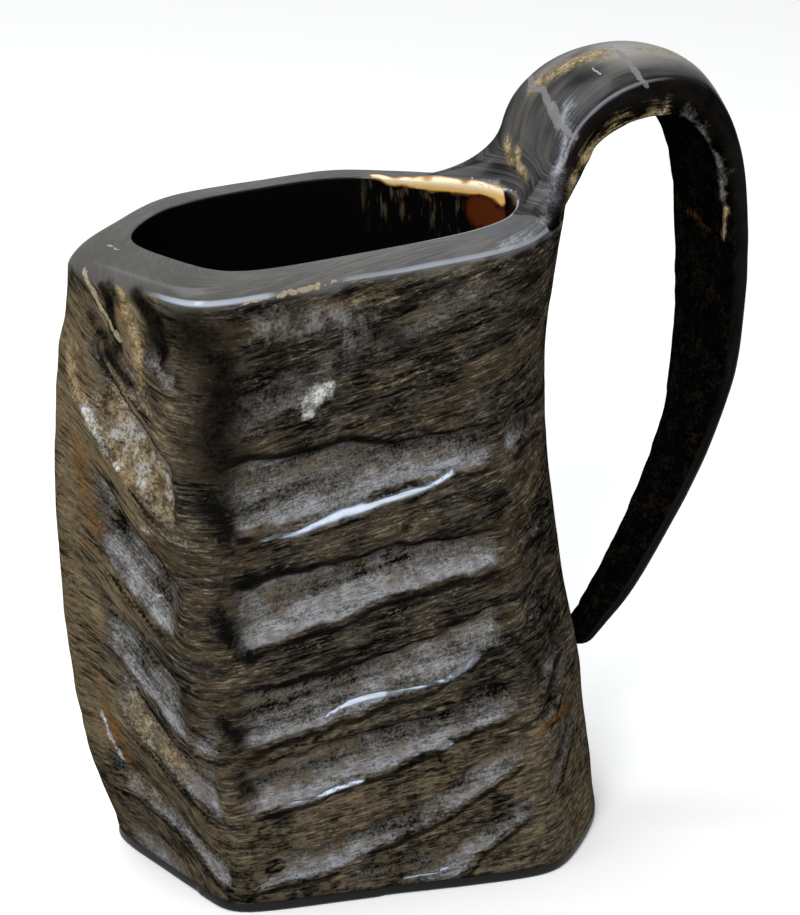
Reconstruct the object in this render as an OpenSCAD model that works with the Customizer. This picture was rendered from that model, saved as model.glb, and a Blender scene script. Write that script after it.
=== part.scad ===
// Horn drinking cup: a cup cut from the wide end of one buffalo horn. A strip of the same wall and the
// solid tip are bent up, over and down beside the cup to make the handle. A glued plate closes the base.
// Millimetres. The centre of the base is the origin, +Z is up, +X points to the handle, -Y is the front.

/* [Cup] */
// Height of the rim above the table
rim_height = 152; // [125:1:180]
// Distance from the cup's axis to its right-hand flat at the base
half_width = 56; // [46:0.5:67]
// Wall thickness near the base
base_wall = 6.5; // [5.5:0.1:8]
// Wall thickness at the rim, front and back
rim_wall = 9; // [7.5:0.1:11]
// Wall thickness at the rim's left end
rim_left_wall = 15; // [12:0.1:18]
// Wall thickness at the rim under the handle
rim_right_wall = 11; // [9:0.1:13]
// Rounding of the rim's outer edge
rim_bevel = 3.6; // [2.5:0.1:4.4]
// Rounding of the rim's inner edge
rim_inner_round = 1; // [0.5:0.1:1.5]

/* [Cup outline] */
// Offset of the axis to the right at five levels, as shares of the half width
lean_x_shares = [0, -0.04, -0.09, -0.14, -0.16];
// Offset of the axis to the back at five levels, as shares of the half width
lean_y_shares = [0, 0, 0.04, 0.09, 0.125];
// Seven flats: right, back right, back, back left, left, front, front right. Axis to each flat at the base
flat_shares_base = [1.00, 0.86, 0.66, 1.09, 0.84, 0.49, 0.82];
// The same at a quarter of the height
flat_shares_low = [0.95, 0.83, 0.65, 1.00, 0.94, 0.52, 0.79];
// The same at half of the height
flat_shares_middle = [0.90, 0.79, 0.62, 0.96, 0.99, 0.55, 0.74];
// The same at three quarters of the height
flat_shares_high = [0.91, 0.71, 0.58, 0.86, 1.01, 0.59, 0.77];
// The same at the rim
flat_shares_rim = [0.99, 0.60, 0.52, 0.73, 1.05, 0.67, 0.89];
// Directions of the five flats that don't turn
flat_angles = [0, 52, 90, 128, 312];
// Direction of the left flat at five levels
left_flat_angles = [187, 203, 205, 205, 199];
// Direction of the front flat at five levels
front_flat_angles = [257, 261, 267, 270, 271];
// Sharpness of the corners outside
corner_power = 12; // [8:1:16]
// Sharpness of the corners inside
inner_corner_power = 8; // [5:1:12]

/* [Growth rings] */
// Height of each ring's valley at the front left corner, as shares of the rim height
ring_height_shares = [-0.06, 0.06, 0.197, 0.32, 0.49, 0.678, 0.805];
// Rise of each valley to the right, per length
ring_rise_shares = [0, 0, 0.20, 0.12, 0.17, 0.07, 0.33];
// Upward curve of each valley to the right
ring_curve_shares = [0.31, 0.29, 0.034, 0.078, -0.056, -0.03, 0];
// Rise of each valley around the left face, as shares of the largest
ring_back_shares = [0.5, 0.6, 0.85, 0.8, 0.9, 1, 0.7];
// Largest rise of a valley around the left face
ring_back_rise = 30; // [25:0.5:35]
// Half height of each valley, as shares of the largest
ring_half_shares = [0.42, 0.45, 0.77, 0.84, 0.96, 1, 0.54];
// How much each valley narrows to the right
ring_taper_shares = [0, 0.1, 0.5, 0.42, 0.57, 0.62, 0.3];
// Half height of the largest valley
ring_half_height = 9.3; // [8:0.1:10.5]
// Depth of each valley, as shares of the deepest
ring_depth_shares = [0.45, 0.45, 0.75, 0.88, 0.95, 1, 0.22];
// Depth of the deepest valley
ring_depth = 2.9; // [2.3:0.1:3.4]
// Height below the rim where the rings end
ring_free_height = 12; // [9:0.5:15]
// How far the left end steps in under the rim
rim_step = 0.8; // [0.6:0.1:1.1]
// Height of that stepped block
rim_step_height = 16; // [13:0.5:20]

/* [Handle] */
// Reach of the handle beyond the rim's right end
handle_reach = 47; // [40:0.5:56]
// Rise of the arch's middle above the rim
arch_rise = 22; // [18:0.5:26]
// Height of the tip above the table
tip_height = 37; // [31:0.5:44]
// Gap between the tip and the cup
tip_gap = 1; // [0.8:0.1:1.2]
// Width of the strip at its root
handle_width = 29.6; // [25:0.1:33]
// Thickness of the strip at its edges
handle_thickness = 7; // [6:0.1:8.4]
// Crown of the polished face on the arch
handle_crown = 4; // [3:0.1:4.8]
// Path: part of the reach at each station
path_reach_shares = [0.02, 0.09, 0.21, 0.37, 0.545, 0.695, 0.815, 0.895, 0.935, 0.935, 0.905, 0.84,
    0.738, 0.593, 0.422, 0.228, 0.02];
// Path: part of the way from the root to the tip's side at each station
path_tip_shares = [0, 0, 0, 0, 0, 0, 0, 0, 0.04, 0.12, 0.24, 0.40, 0.54, 0.67, 0.80, 0.91, 1];
// Path: height above the rim as shares of the arch, and below it as shares of the drop to the tip
path_height_shares = [0.36, 0.64, 0.82, 0.92, 0.915, 0.795, 0.53, 0.19, -0.05, -0.16, -0.28, -0.42,
    -0.54, -0.655, -0.76, -0.865, -0.955];
// Width of the strip at each station
width_shares = [1, 1, 1, 0.99, 0.97, 0.93, 0.88, 0.85, 0.83, 0.81, 0.77, 0.67, 0.55, 0.46, 0.39, 0.34,
    0.29];
// Thickness of the strip at each station
thickness_shares = [0.92, 1.02, 1.18, 1.26, 1.28, 1.20, 1.04, 0.93, 0.90, 0.93, 0.98, 1.05, 1.12, 1.16,
    1.14, 1.05, 0.90];
// Crown of the polished face at each station
crown_shares = [0.25, 0.62, 0.88, 1, 1, 0.96, 0.8, 0.62, 0.52, 0.48, 0.46, 0.45, 0.44, 0.38, 0.30,
    0.25, 0.15];
// Crown of the face that looks at the cup at each station
inner_crown_shares = [0.62, 0.5, 0.3, 0.2, 0.15, 0.15, 0.15, 0.15, 0.15, 0.2, 0.25, 0.3, 0.35, 0.35,
    0.3, 0.25, 0.15];
// Rounding of the polished face's edges at each station, as shares of half the thickness
edge_shares = [0.40, 0.32, 0.28, 0.24, 0.24, 0.24, 0.26, 0.30, 0.36, 0.44, 0.54, 0.70, 0.82, 0.90,
    0.92, 0.94, 0.95];
// Length of the rounded end beyond the last station
tip_round = 4; // [3:0.1:5]

/* [Base] */
// Thickness of the plate's flange, which is as wide as the cup
plate_thickness = 2.5; // [2:0.1:3]
// Height of the plate's plug inside the cup
plug_height = 5; // [4:0.1:6]
// Clearance around the plug
plug_clearance = 0.2; // [0.15:0.01:0.25]
// Chamfer of the plate's bottom edge
plate_chamfer = 0.6; // [0.4:0.1:0.8]
// Size of the sealing bead's legs
bead_size = 2.4; // [2:0.1:3]
// Clearance between the bead and the cup's wall
bead_clearance = 0.12; // [0.1:0.01:0.15]

/* [Hidden] */
horn_colour = [0.16, 0.13, 0.10];
plate_colour = [0.07, 0.06, 0.06];
bead_colour = [0.30, 0.22, 0.12];

// Columns around the cup, rows up the outside, and half the columns that run into the handle
columns = 76;
outer_rows = 42;
root_columns = 8;
blend_rings = 7;
sweep_rings = 28;
// Columns are closer together at the ends of the cup's long axis
column_ratio = 1.6;
bevel_steps = 4;
rim_flat_shares = [0.35, 0.7];
inner_height_shares = [0.92, 0.82, 0.68, 0.52, 0.34, 0.16];
// Where the wall starts to thicken, and where the rings' ends fade, as shares
wall_start_share = 0.62;
ring_fade_shares = [0.62, 0.86];
ring_fade_power = 5;
valley_top_shares = [1, 0.45];
valley_bottom_shares = [-1.15, 0];
step_half_angle_shares = [0.2, 0.75];
step_run_share = 0.4;
bead_waist_share = 0.36;
blend_lift_share = 0.15;
// Length of the tangents that leave the outer wall and the rim's top
leave_shares = [0.3, 0.75];
tip_ring_shares = [0.4, 0.7, 0.9];
// The rim's flat top runs into the edges of the polished face, outside this share of its width
face_share = 0.72;

flat_table = [flat_shares_base, flat_shares_low, flat_shares_middle, flat_shares_high, flat_shares_rim];
drop = rim_height - tip_height;
corner_x = -0.86 * half_width;
ring_back_y_shares = [-0.36, 0.18];
ring_back_x_shares = [-0.8, 0.62];
ring_run_share = 1.35;
ring_back_growth_share = 0.25;
root_angle = atan2(-lean_y_shares[4], flat_shares_rim[0]);
column_angles = [for (j = [0 : columns - 1])
    root_angle + atan2(sin(360 * j / columns), column_ratio * cos(360 * j / columns))];

function clamp01(x) = max(0, min(1, x));
function smooth(a, b, x) = let (u = clamp01((x - a) / (b - a))) u * u * (3 - 2 * u);
function mix(a, b, f) = a + (b - a) * f;
function unit(v) = v / max(norm(v), 1e-9);

// Smooth value between evenly spaced entries of a list
function along(list, share) =
    let (n = len(list), t = clamp01(share) * (n - 1), i = min(floor(t), n - 2), f = t - i,
        b = list[i], c = list[i + 1],
        a = i > 0 ? list[i - 1] : 2 * b - c,
        d = i < n - 2 ? list[i + 2] : 2 * c - b)
    b + 0.5 * f * (c - a + f * (2 * a - 5 * b + 4 * c - d + f * (3 * (b - c) + d - a)));

function level(z) = z / rim_height;
function axis_at(z) = half_width * [along(lean_x_shares, level(z)), along(lean_y_shares, level(z))];
function flats_at(z) = half_width * along(flat_table, level(z));
function angles_at(z) = [flat_angles[0], flat_angles[1], flat_angles[2], flat_angles[3],
    along(left_flat_angles, level(z)), along(front_flat_angles, level(z)), flat_angles[4]];

// Radius of a many-sided outline with rounded corners: the flats' distances joined by a high power
function terms(angle, flats, angles, power) =
    [for (i = [0 : len(flats) - 1]) pow(max(0, cos(angle - angles[i])) / flats[i], power)];
function total(list) = list * [for (v = list) 1];
function outline_radius(angle, flats, angles, power) =
    pow(total(terms(angle, flats, angles, power)), -1 / power);

function walls_at(z) =
    let (f = smooth(wall_start_share, 1, level(z)), r = mix(base_wall, rim_wall, f))
    [mix(base_wall, rim_right_wall, f), r, r, r, mix(base_wall, rim_left_wall, f), r, r];

// How much of one flat a direction lies on: 1 in its middle, about a half at a corner
function flatness(angle, z) =
    let (t = terms(angle, flats_at(z), angles_at(z), ring_fade_power)) max(t) / total(t);
function valley(x, y, z, i) =
    let (run = max(0, (x - corner_x) / half_width),
        back = smooth(ring_back_y_shares[0], ring_back_y_shares[1], y / half_width)
            * (1 - smooth(ring_back_x_shares[0], ring_back_x_shares[1], x / half_width)),
        middle = ring_height_shares[i] * rim_height
            + half_width * (ring_rise_shares[i] * run + ring_curve_shares[i] * run * run)
            + ring_back_rise * ring_back_shares[i] * back,
        narrowing = 1 - ring_taper_shares[i] * min(1, run / ring_run_share),
        half = ring_half_height * ring_half_shares[i] * narrowing * (1 + ring_back_growth_share * back),
        u = (z - middle) / half)
    ring_depth * ring_depth_shares[i] * smooth(valley_top_shares[0], valley_top_shares[1], u)
        * smooth(valley_bottom_shares[0], valley_bottom_shares[1], u);
function relief(angle, x, y, z) =
    total([for (i = [0 : len(ring_height_shares) - 1]) valley(x, y, z, i)])
        * smooth(ring_fade_shares[0], ring_fade_shares[1], flatness(angle, z))
        * smooth(rim_height - ring_free_height / 3, rim_height - ring_free_height, z)
    + rim_step * smooth(-step_run_share * rim_step_height, 0, z - rim_height + rim_step_height)
        * smooth(step_half_angle_shares[0], step_half_angle_shares[1], cos(angle - angles_at(z)[4]));

function polar(angle, z, radius) =
    let (c = axis_at(z)) [c[0] + radius * cos(angle), c[1] + radius * sin(angle), z];
function plain_point(angle, z) =
    polar(angle, z, outline_radius(angle, flats_at(z), angles_at(z), corner_power));
function outer_point(angle, z, inset = 0) =
    let (r = outline_radius(angle, flats_at(z), angles_at(z), corner_power), p = polar(angle, z, r))
    polar(angle, z, r - relief(angle, p[0], p[1], z) - inset);
function inner_point(angle, z, inset = 0) =
    let (flats = flats_at(z) - walls_at(z))
    polar(angle, z, outline_radius(angle, flats, angles_at(z), inner_corner_power) - inset);

// Rows of the cup's surface: up the outside, over the rim and down the inside
bevel_start = rim_height - rim_bevel;
outer_grid = concat(
    [for (i = [0 : outer_rows - 1]) let (z = mix(plate_thickness, bevel_start, i / (outer_rows - 1)))
        [for (a = column_angles) outer_point(a, z)]],
    [for (i = [1 : bevel_steps]) let (turn = 90 * i / bevel_steps)
        [for (a = column_angles) let (p = outer_point(a, bevel_start + rim_bevel * sin(turn),
            rim_bevel * (1 - cos(turn)))) p]]);
rim_outer_row = outer_grid[len(outer_grid) - 1];
rim_inner_row = [for (a = column_angles) inner_point(a, rim_height, -rim_inner_round)];
grid = concat(outer_grid,
    [for (f = rim_flat_shares) [for (j = [0 : columns - 1]) mix(rim_outer_row[j], rim_inner_row[j], f)]],
    [rim_inner_row],
    [[for (a = column_angles) inner_point(a, rim_height - 0.3 * rim_inner_round, -0.3 * rim_inner_round)]],
    [[for (a = column_angles) inner_point(a, rim_height - rim_inner_round)]],
    [for (s = inner_height_shares) [for (a = column_angles) inner_point(a, s * rim_height)]],
    [[for (a = column_angles) inner_point(a, plate_thickness)]]);
rows = len(grid);

// The block of the surface that opens into the handle, and the loop around it
first_row = outer_rows - 1;
last_row = outer_rows + bevel_steps + len(rim_flat_shares);
side_steps = last_row - first_row;
loop_cells = concat(
    [for (r = [first_row : last_row - 1]) [r, -root_columns]],
    [for (j = [-root_columns : root_columns - 1]) [last_row, j]],
    [for (r = [last_row : -1 : first_row + 1]) [r, root_columns]],
    [for (j = [root_columns : -1 : -root_columns + 1]) [first_row, j]]);
loop_count = len(loop_cells);
function wrap(j) = (j + columns) % columns;
function cell_index(cell) = (cell[0] % rows) * columns + wrap(cell[1]);
function cell_point(cell) = grid[cell[0]][wrap(cell[1])];
function cell_normal(cell) = unit(cross(
    cell_point([cell[0], cell[1] + 1]) - cell_point([cell[0], cell[1] - 1]),
    cell_point([cell[0] + 1, cell[1]]) - cell_point([cell[0] - 1, cell[1]])));

// Handle path in the plane y = 0
root_x = half_width * (lean_x_shares[4] + flat_shares_rim[0]) - 0.5 * rim_right_wall;
tip_z = rim_height + path_height_shares[16] * drop;
tip_x = plain_point(root_angle, tip_z)[0] + tip_gap + 0.5 * handle_thickness * thickness_shares[16];
stations = len(path_reach_shares);
path = [for (i = [0 : stations - 1])
    [root_x + (tip_x - root_x) * path_tip_shares[i] + handle_reach * path_reach_shares[i],
        rim_height + path_height_shares[i] * (path_height_shares[i] > 0 ? arch_rise : drop)]];
function path_direction(s) =
    let (step = 0.25 / stations) unit(along(path, min(1, s + step)) - along(path, max(0, s - step)));

// Cross-section of the strip: across is along y, out points to the polished face
corner_steps = 2;
face_edge_steps = side_steps - 2 * corner_steps - 1;
function arc_points(across, out, r, from, to) = [for (i = [0 : corner_steps - 1])
    let (a = from + (to - from) * i / corner_steps) [across + r * cos(a), out + r * sin(a)]];
function line_points(a, b, count) = [for (i = [0 : count - 1]) mix(a, b, i / count)];
function strip_section(s) =
    let (w = handle_width / 2 * along(width_shares, s),
        h = handle_thickness / 2 * along(thickness_shares, s),
        r = h * along(edge_shares, s), q = h * min(0.95, along(edge_shares, s) + 0.1),
        top = handle_crown * along(crown_shares, s), under = handle_crown * along(inner_crown_shares, s),
        face = face_share * (w - r),
        flat = concat(
            arc_points(-w + q, -h + q, q, 270, 180),
            [[-w, -h + q]],
            arc_points(-w + r, h - r, r, 180, 90),
            line_points([-w + r, h], [-face, h], face_edge_steps),
            line_points([-face, h], [face, h], 2 * root_columns),
            line_points([face, h], [w - r, h], face_edge_steps),
            arc_points(w - r, h - r, r, 90, 0),
            [[w, h - r]],
            arc_points(w - q, -h + q, q, 0, -90),
            line_points([w - q, -h], [-w + q, -h], 2 * root_columns)))
    [for (p = flat) [p[0], p[1] + (p[1] > 0 ? top : under) * (1 - pow(p[0] / w, 2)) * p[1] / h]];
function sweep_ring(s) =
    let (c = along(path, s), d = path_direction(s), n = [-d[1], d[0]])
    [for (p = strip_section(s)) [c[0] + p[1] * n[0], p[0], c[1] + p[1] * n[1]]];

// From the loop on the rim to the first ring of the strip, tangent to the surface at both ends
loop_points = [for (cell = loop_cells) cell_point(cell)];
first_ring = sweep_ring(0);
start_direction = [path_direction(0)[0], 0, path_direction(0)[1]];
loop_normals = [for (cell = loop_cells) cell_normal(cell)];
leave_vectors = [for (i = [0 : loop_count - 1])
    let (n = loop_normals[i], way = first_ring[i] - loop_points[i])
    norm(way) * mix(leave_shares[0], leave_shares[1], abs(n[2]))
        * unit(unit(way - n * (n * way)) + blend_lift_share * [0, 0, 1])];
blend = [for (k = [1 : blend_rings - 1]) let (t = k / blend_rings)
    [for (i = [0 : loop_count - 1]) let (reach = norm(first_ring[i] - loop_points[i]))
        (2 * pow(t, 3) - 3 * pow(t, 2) + 1) * loop_points[i]
        + (pow(t, 3) - 2 * pow(t, 2) + t) * leave_vectors[i]
        + (3 * pow(t, 2) - 2 * pow(t, 3)) * first_ring[i]
        + (pow(t, 3) - pow(t, 2)) * reach * start_direction]];
sweep = [for (k = [0 : sweep_rings - 1]) sweep_ring(k / (sweep_rings - 1))];
last_ring = sweep[sweep_rings - 1];
end_centre = [along(path, 1)[0], 0, along(path, 1)[1]];
end_direction = [path_direction(1)[0], 0, path_direction(1)[1]];
tip_rings = [for (f = tip_ring_shares)
    [for (p = last_ring) end_centre + (p - end_centre) * sqrt(1 - f * f) + end_direction * tip_round * f]];
handle_rings = concat(blend, sweep, tip_rings);
tip_point = end_centre + end_direction * tip_round;

function flatten(lists) = [for (l = lists) for (v = l) v];
function ring_index(k, i) = k == 0 ? cell_index(loop_cells[i % loop_count])
    : rows * columns + (k - 1) * loop_count + i % loop_count;
function signed(j) = j < columns / 2 ? j : j - columns;
function in_root(r, j) =
    r >= first_row && r < last_row && signed(j) >= -root_columns && signed(j) < root_columns;
// Triangles are split along the rings, which fall to the front on the left side
function falls(angle) = let (a = (angle + 360) % 360) a > 110 && a < 216;
tip_index = rows * columns + len(handle_rings) * loop_count;

module horn() {
    points = concat(flatten(grid), flatten(handle_rings), [tip_point]);
    cup_faces = [for (r = [0 : rows - 1]) for (j = [0 : columns - 1]) if (!in_root(r, j))
        for (f = falls(column_angles[j])
            ? [[[r, j], [r + 1, j], [r, j + 1]], [[r + 1, j], [r + 1, j + 1], [r, j + 1]]]
            : [[[r, j], [r + 1, j], [r + 1, j + 1]], [[r, j], [r + 1, j + 1], [r, j + 1]]])
            [for (c = f) cell_index(c)]];
    handle_faces = [for (k = [0 : len(handle_rings) - 1]) for (i = [0 : loop_count - 1])
        for (f = [[ring_index(k, i), ring_index(k, i + 1), ring_index(k + 1, i + 1)],
            [ring_index(k, i), ring_index(k + 1, i + 1), ring_index(k + 1, i)]]) f];
    tip_faces = [for (i = [0 : loop_count - 1])
        [ring_index(len(handle_rings), i), ring_index(len(handle_rings), i + 1), tip_index]];
    color(horn_colour)
    polyhedron(points = points, faces = concat(cup_faces, handle_faces, tip_faces));
}

// Closed solid from stacked rings, bottom ring first, with a middle point at each end
module ring_solid(rings) {
    n = len(rings[0]);
    points = concat(flatten(rings), [total_point(rings[0]) / n, total_point(rings[len(rings) - 1]) / n]);
    low = n * len(rings);
    walls = [for (k = [0 : len(rings) - 2]) for (i = [0 : n - 1])
        let (a = k * n + i, b = k * n + (i + 1) % n)
        for (f = [[a, a + n, b + n], [a, b + n, b]]) f];
    ends = [for (i = [0 : n - 1]) let (j = (i + 1) % n)
        for (f = [[low, i, j], [low + 1, low - n + j, low - n + i]]) f];
    polyhedron(points = points, faces = concat(walls, ends));
}
function total_point(list) = [for (k = [0 : 2]) total([for (p = list) p[k]])];
function at_height(p, z) = [p[0], p[1], z];

plug_top = plate_thickness + plug_height;
module base_plate() {
    color(plate_colour)
    ring_solid([
        [for (a = column_angles) at_height(outer_point(a, plate_thickness, plate_chamfer), 0)],
        [for (a = column_angles) at_height(outer_point(a, plate_thickness), plate_chamfer)],
        [for (a = column_angles) outer_point(a, plate_thickness)],
        [for (a = column_angles) inner_point(a, plate_thickness, plug_clearance)],
        [for (a = column_angles) at_height(inner_point(a, plate_thickness, plug_clearance), plug_top)]]);
}

module seal_bead() {
    waist = bead_waist_share * bead_size;
    wall_foot = [for (a = column_angles) inner_point(a, plug_top, bead_clearance)];
    wall_head = [for (a = column_angles) inner_point(a, plug_top + bead_size, bead_clearance)];
    hollow = [for (a = column_angles) inner_point(a, plug_top + waist, bead_clearance + waist)];
    toe = [for (a = column_angles) at_height(inner_point(a, plug_top, bead_clearance + bead_size),
    plug_top)];
    rings = [wall_foot, wall_head, hollow, toe];
    n = columns;
    color(bead_colour)
    polyhedron(points = flatten(rings), faces = [for (k = [0 : 3]) for (i = [0 : n - 1])
        let (m = (k + 1) % 4, a = k * n + i, b = k * n + (i + 1) % n, c = m * n + i, d = m * n + (i + 1) % n)
        for (f = [[a, c, d], [a, d, b]]) f]);
}

horn();
base_plate();
seal_bead();
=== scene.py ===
"""A drinking cup made from one buffalo horn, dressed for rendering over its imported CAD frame."""

import itertools
import math

import bpy
import numpy as np
from mathutils import Matrix, Vector


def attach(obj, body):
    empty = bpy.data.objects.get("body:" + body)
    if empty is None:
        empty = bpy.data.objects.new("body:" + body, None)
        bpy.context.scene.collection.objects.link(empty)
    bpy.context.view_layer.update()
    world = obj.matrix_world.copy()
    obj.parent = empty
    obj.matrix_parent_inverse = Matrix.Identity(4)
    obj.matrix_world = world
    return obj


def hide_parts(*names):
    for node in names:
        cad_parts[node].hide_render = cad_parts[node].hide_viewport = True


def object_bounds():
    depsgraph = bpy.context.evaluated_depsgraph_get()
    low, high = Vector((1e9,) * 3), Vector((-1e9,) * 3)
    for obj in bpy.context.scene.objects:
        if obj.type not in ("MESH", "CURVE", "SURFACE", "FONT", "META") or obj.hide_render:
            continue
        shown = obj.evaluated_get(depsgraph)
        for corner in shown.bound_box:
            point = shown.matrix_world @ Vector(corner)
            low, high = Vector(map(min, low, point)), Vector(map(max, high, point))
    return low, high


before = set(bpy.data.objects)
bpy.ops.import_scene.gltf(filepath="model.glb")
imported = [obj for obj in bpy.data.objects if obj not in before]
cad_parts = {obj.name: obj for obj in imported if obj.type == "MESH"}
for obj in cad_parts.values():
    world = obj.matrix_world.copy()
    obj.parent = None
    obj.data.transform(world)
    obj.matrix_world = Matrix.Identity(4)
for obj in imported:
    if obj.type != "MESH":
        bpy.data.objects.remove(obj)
cad_box = [list(corner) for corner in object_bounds()]

MM = 0.001

# The cup's sizes in millimetres, as in the CAD source
RIM_HEIGHT = 152
HALF_WIDTH = 56
BASE_WALL, RIM_WALL, RIM_LEFT_WALL, RIM_RIGHT_WALL = 6.5, 9, 15, 11
RIM_BEVEL, RIM_BEVEL_RUN, RIM_INNER_ROUND = 3.8, 5.2, 0.7
LEAN_X_SHARES = [0, -0.04, -0.09, -0.14, -0.16]
LEAN_Y_SHARES = [0, 0, 0.04, 0.09, 0.125]
# Axis to each of the seven flats (right, back right, back, back left, left, front, front right)
FLAT_SHARES = [
    [1.00, 0.86, 0.66, 1.09, 0.84, 0.49, 0.82],
    [0.95, 0.83, 0.65, 1.00, 0.94, 0.52, 0.79],
    [0.90, 0.79, 0.62, 0.96, 0.99, 0.55, 0.74],
    [0.91, 0.71, 0.58, 0.86, 1.01, 0.59, 0.77],
    [0.99, 0.60, 0.52, 0.73, 1.05, 0.67, 0.89],
]
FLAT_ANGLES = [
    [0, 52, 90, 128, 187, 257, 312],
    [0, 52, 90, 128, 203, 261, 312],
    [0, 52, 90, 128, 205, 267, 312],
    [0, 52, 90, 128, 205, 270, 312],
    [0, 52, 90, 128, 199, 271, 312],
]
CORNER_POWER, INNER_CORNER_POWER = 12, 8
WALL_START_SHARE = 0.62
# Curves of the rim's sloped edge, and what dents, wear and waves take off the outside
BEVEL_POWER, BEVEL_RUN_POWER, END_CROWDING, DOWN_POWER = 1.9, 1.25, 1.6, 1.8
NICK_DEPTH, DENT_DEPTH, WORN_DEPTH, WAVE_DEPTH = 0.9, 1.6, 0.8, 0.18

# Growth rings, lowest first
RING_HEIGHT_SHARES = [-0.06, 0.06, 0.197, 0.32, 0.49, 0.678, 0.805]
RING_RISE_SHARES = [0, 0, 0.20, 0.12, 0.17, 0.07, 0.33]
RING_CURVE_SHARES = [0.31, 0.29, 0.034, 0.078, -0.056, -0.03, 0]
RING_BACK_SHARES = [0.5, 0.6, 0.85, 0.8, 0.9, 1, 0.7]
RING_HALF_SHARES = [0.42, 0.45, 0.77, 0.84, 0.96, 1, 0.54]
RING_TAPER_SHARES = [0, 0.1, 0.5, 0.42, 0.57, 0.62, 0.3]
RING_DEPTH_SHARES = [0.45, 0.45, 0.75, 0.88, 0.95, 1, 0.22]
# How much tan crust lies in each ring's valley on the left face
CRUST_SHARES = [0.4, 0.5, 0.7, 0.2, 0.1, 1, 1]
# How dark the painted shade along each ring's upper edge is
CREASE_SHADE_SHARES = [0.3, 0.35, 0.5, 0.8, 1, 1, 0.5]
RING_BACK_RISE, RING_HALF_HEIGHT, RING_DEPTH, RING_FREE_HEIGHT = 30, 9.3, 2.9, 12
# A valley fades towards a flat's edge: the flat's own share of the outline where it ends and where it
# is full, in front, at the front's right end, on the left face and behind
FADE_START_SHARES = [0.50, 0.46, 0.78, 0.62]
FADE_END_SHARES = [0.67, 0.66, 0.93, 0.86]
# What shifts the valleys' edges: size of the shift, spacing and seed of each set of lumps
EDGE_SHIFTS = [(1.3, 11, 1), (0.8, 4.5, 2), (0.4, 2, 3)]
# Run, in half widths from the front left corner, over which the rings taper
RING_TAPER_RUN = 1.35
RIM_STEP, RIM_STEP_HEIGHT = 0.8, 16

# The handle: path, width, thickness and crowns at 17 stations
HANDLE_REACH, ARCH_RISE, TIP_HEIGHT, TIP_GAP = 47, 22, 37, 1
HANDLE_WIDTH, HANDLE_THICKNESS, HANDLE_CROWN, TIP_ROUND = 29.6, 7, 4, 4
PATH_REACH_SHARES = [0.02, 0.09, 0.21, 0.37, 0.545, 0.695, 0.815, 0.895, 0.935, 0.935, 0.905, 0.84,
                     0.738, 0.593, 0.422, 0.228, 0.02]
PATH_TIP_SHARES = [0, 0, 0, 0, 0, 0, 0, 0, 0.04, 0.12, 0.24, 0.40, 0.54, 0.67, 0.80, 0.91, 1]
PATH_HEIGHT_SHARES = [0.36, 0.64, 0.82, 0.92, 0.915, 0.795, 0.53, 0.19, -0.05, -0.16, -0.28, -0.42,
                      -0.54, -0.655, -0.76, -0.865, -0.955]
WIDTH_SHARES = [1, 1, 1, 0.99, 0.97, 0.93, 0.88, 0.85, 0.83, 0.81, 0.77, 0.67, 0.55, 0.46, 0.39, 0.34,
                0.29]
THICKNESS_SHARES = [0.92, 1.02, 1.18, 1.26, 1.28, 1.20, 1.04, 0.93, 0.90, 0.93, 0.98, 1.05, 1.12, 1.16,
                    1.14, 1.05, 0.90]
CROWN_SHARES = [0.25, 0.62, 0.88, 1, 1, 0.96, 0.8, 0.62, 0.52, 0.48, 0.46, 0.45, 0.44, 0.38, 0.30,
                0.25, 0.15]
INNER_CROWN_SHARES = [0.62, 0.5, 0.3, 0.2, 0.15, 0.15, 0.15, 0.15, 0.15, 0.2, 0.25, 0.3, 0.35, 0.35,
                      0.3, 0.25, 0.15]
EDGE_SHARES = [0.40, 0.32, 0.28, 0.24, 0.24, 0.24, 0.26, 0.30, 0.36, 0.44, 0.54, 0.70, 0.82, 0.90,
               0.92, 0.94, 0.95]
# Flat share of the polished face, and how far the blend leaves along the rim's side and its top
FACE_SHARE = 0.72
LEAVE_SHARES = (0.3, 0.75)
GRAIN_SQUEEZE = 0.16

# The base
PLATE_THICKNESS, PLUG_HEIGHT, PLUG_CLEARANCE, PLATE_CHAMFER = 2.5, 5, 0.2, 0.6

# Fineness of the mesh
COLUMNS, ROOT_COLUMNS = 304, 32
OUTER_ROWS, BEVEL_STEPS, FLAT_STEPS, INNER_ROWS = 172, 10, 6, 22
CORNER_STEPS, BLEND_RINGS, SWEEP_RINGS, TIP_RINGS = 4, 26, 160, 6
# Row at the inner edge of the rim's flat top
INSIDE_ROW = OUTER_ROWS + BEVEL_STEPS + FLAT_STEPS
# Smoothing where the handle leaves the rim: cells around its root, rings up the handle, and rounds
RELAX_CELLS, RELAX_ROWS, RELAX_RINGS, RELAX_ROUNDS = 7, 6, BLEND_RINGS + 4, 14

# The camera: its lens and the picture's height in pixels, and its angles and aim
LENS_PIXELS, PICTURE_PIXELS, SENSOR_WIDTH = 4360, 915, 36
AZIMUTH, ELEVATION = -28, 22
AIM = (20.734, 26.293, 81.554)
FLOOR_HALF_SIZE = 3.0


def smooth(a, b, x):
    """Goes from 0 at a to 1 at b along an S curve."""
    u = np.clip((x - a) / (b - a), 0, 1)
    return u * u * (3 - 2 * u)


def mix(a, b, share):
    """The value that lies that share of the way from a to b."""
    return a + (b - a) * share


def tent(distance, width):
    """1 at a distance of 0, falling evenly to 0 one width away on either side."""
    return np.clip(1 - np.abs(distance) / width, 0, 1)


def unit(vectors):
    """The same directions, one long."""
    return vectors / np.maximum(np.linalg.norm(vectors, axis=-1, keepdims=True), 1e-9)


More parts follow.
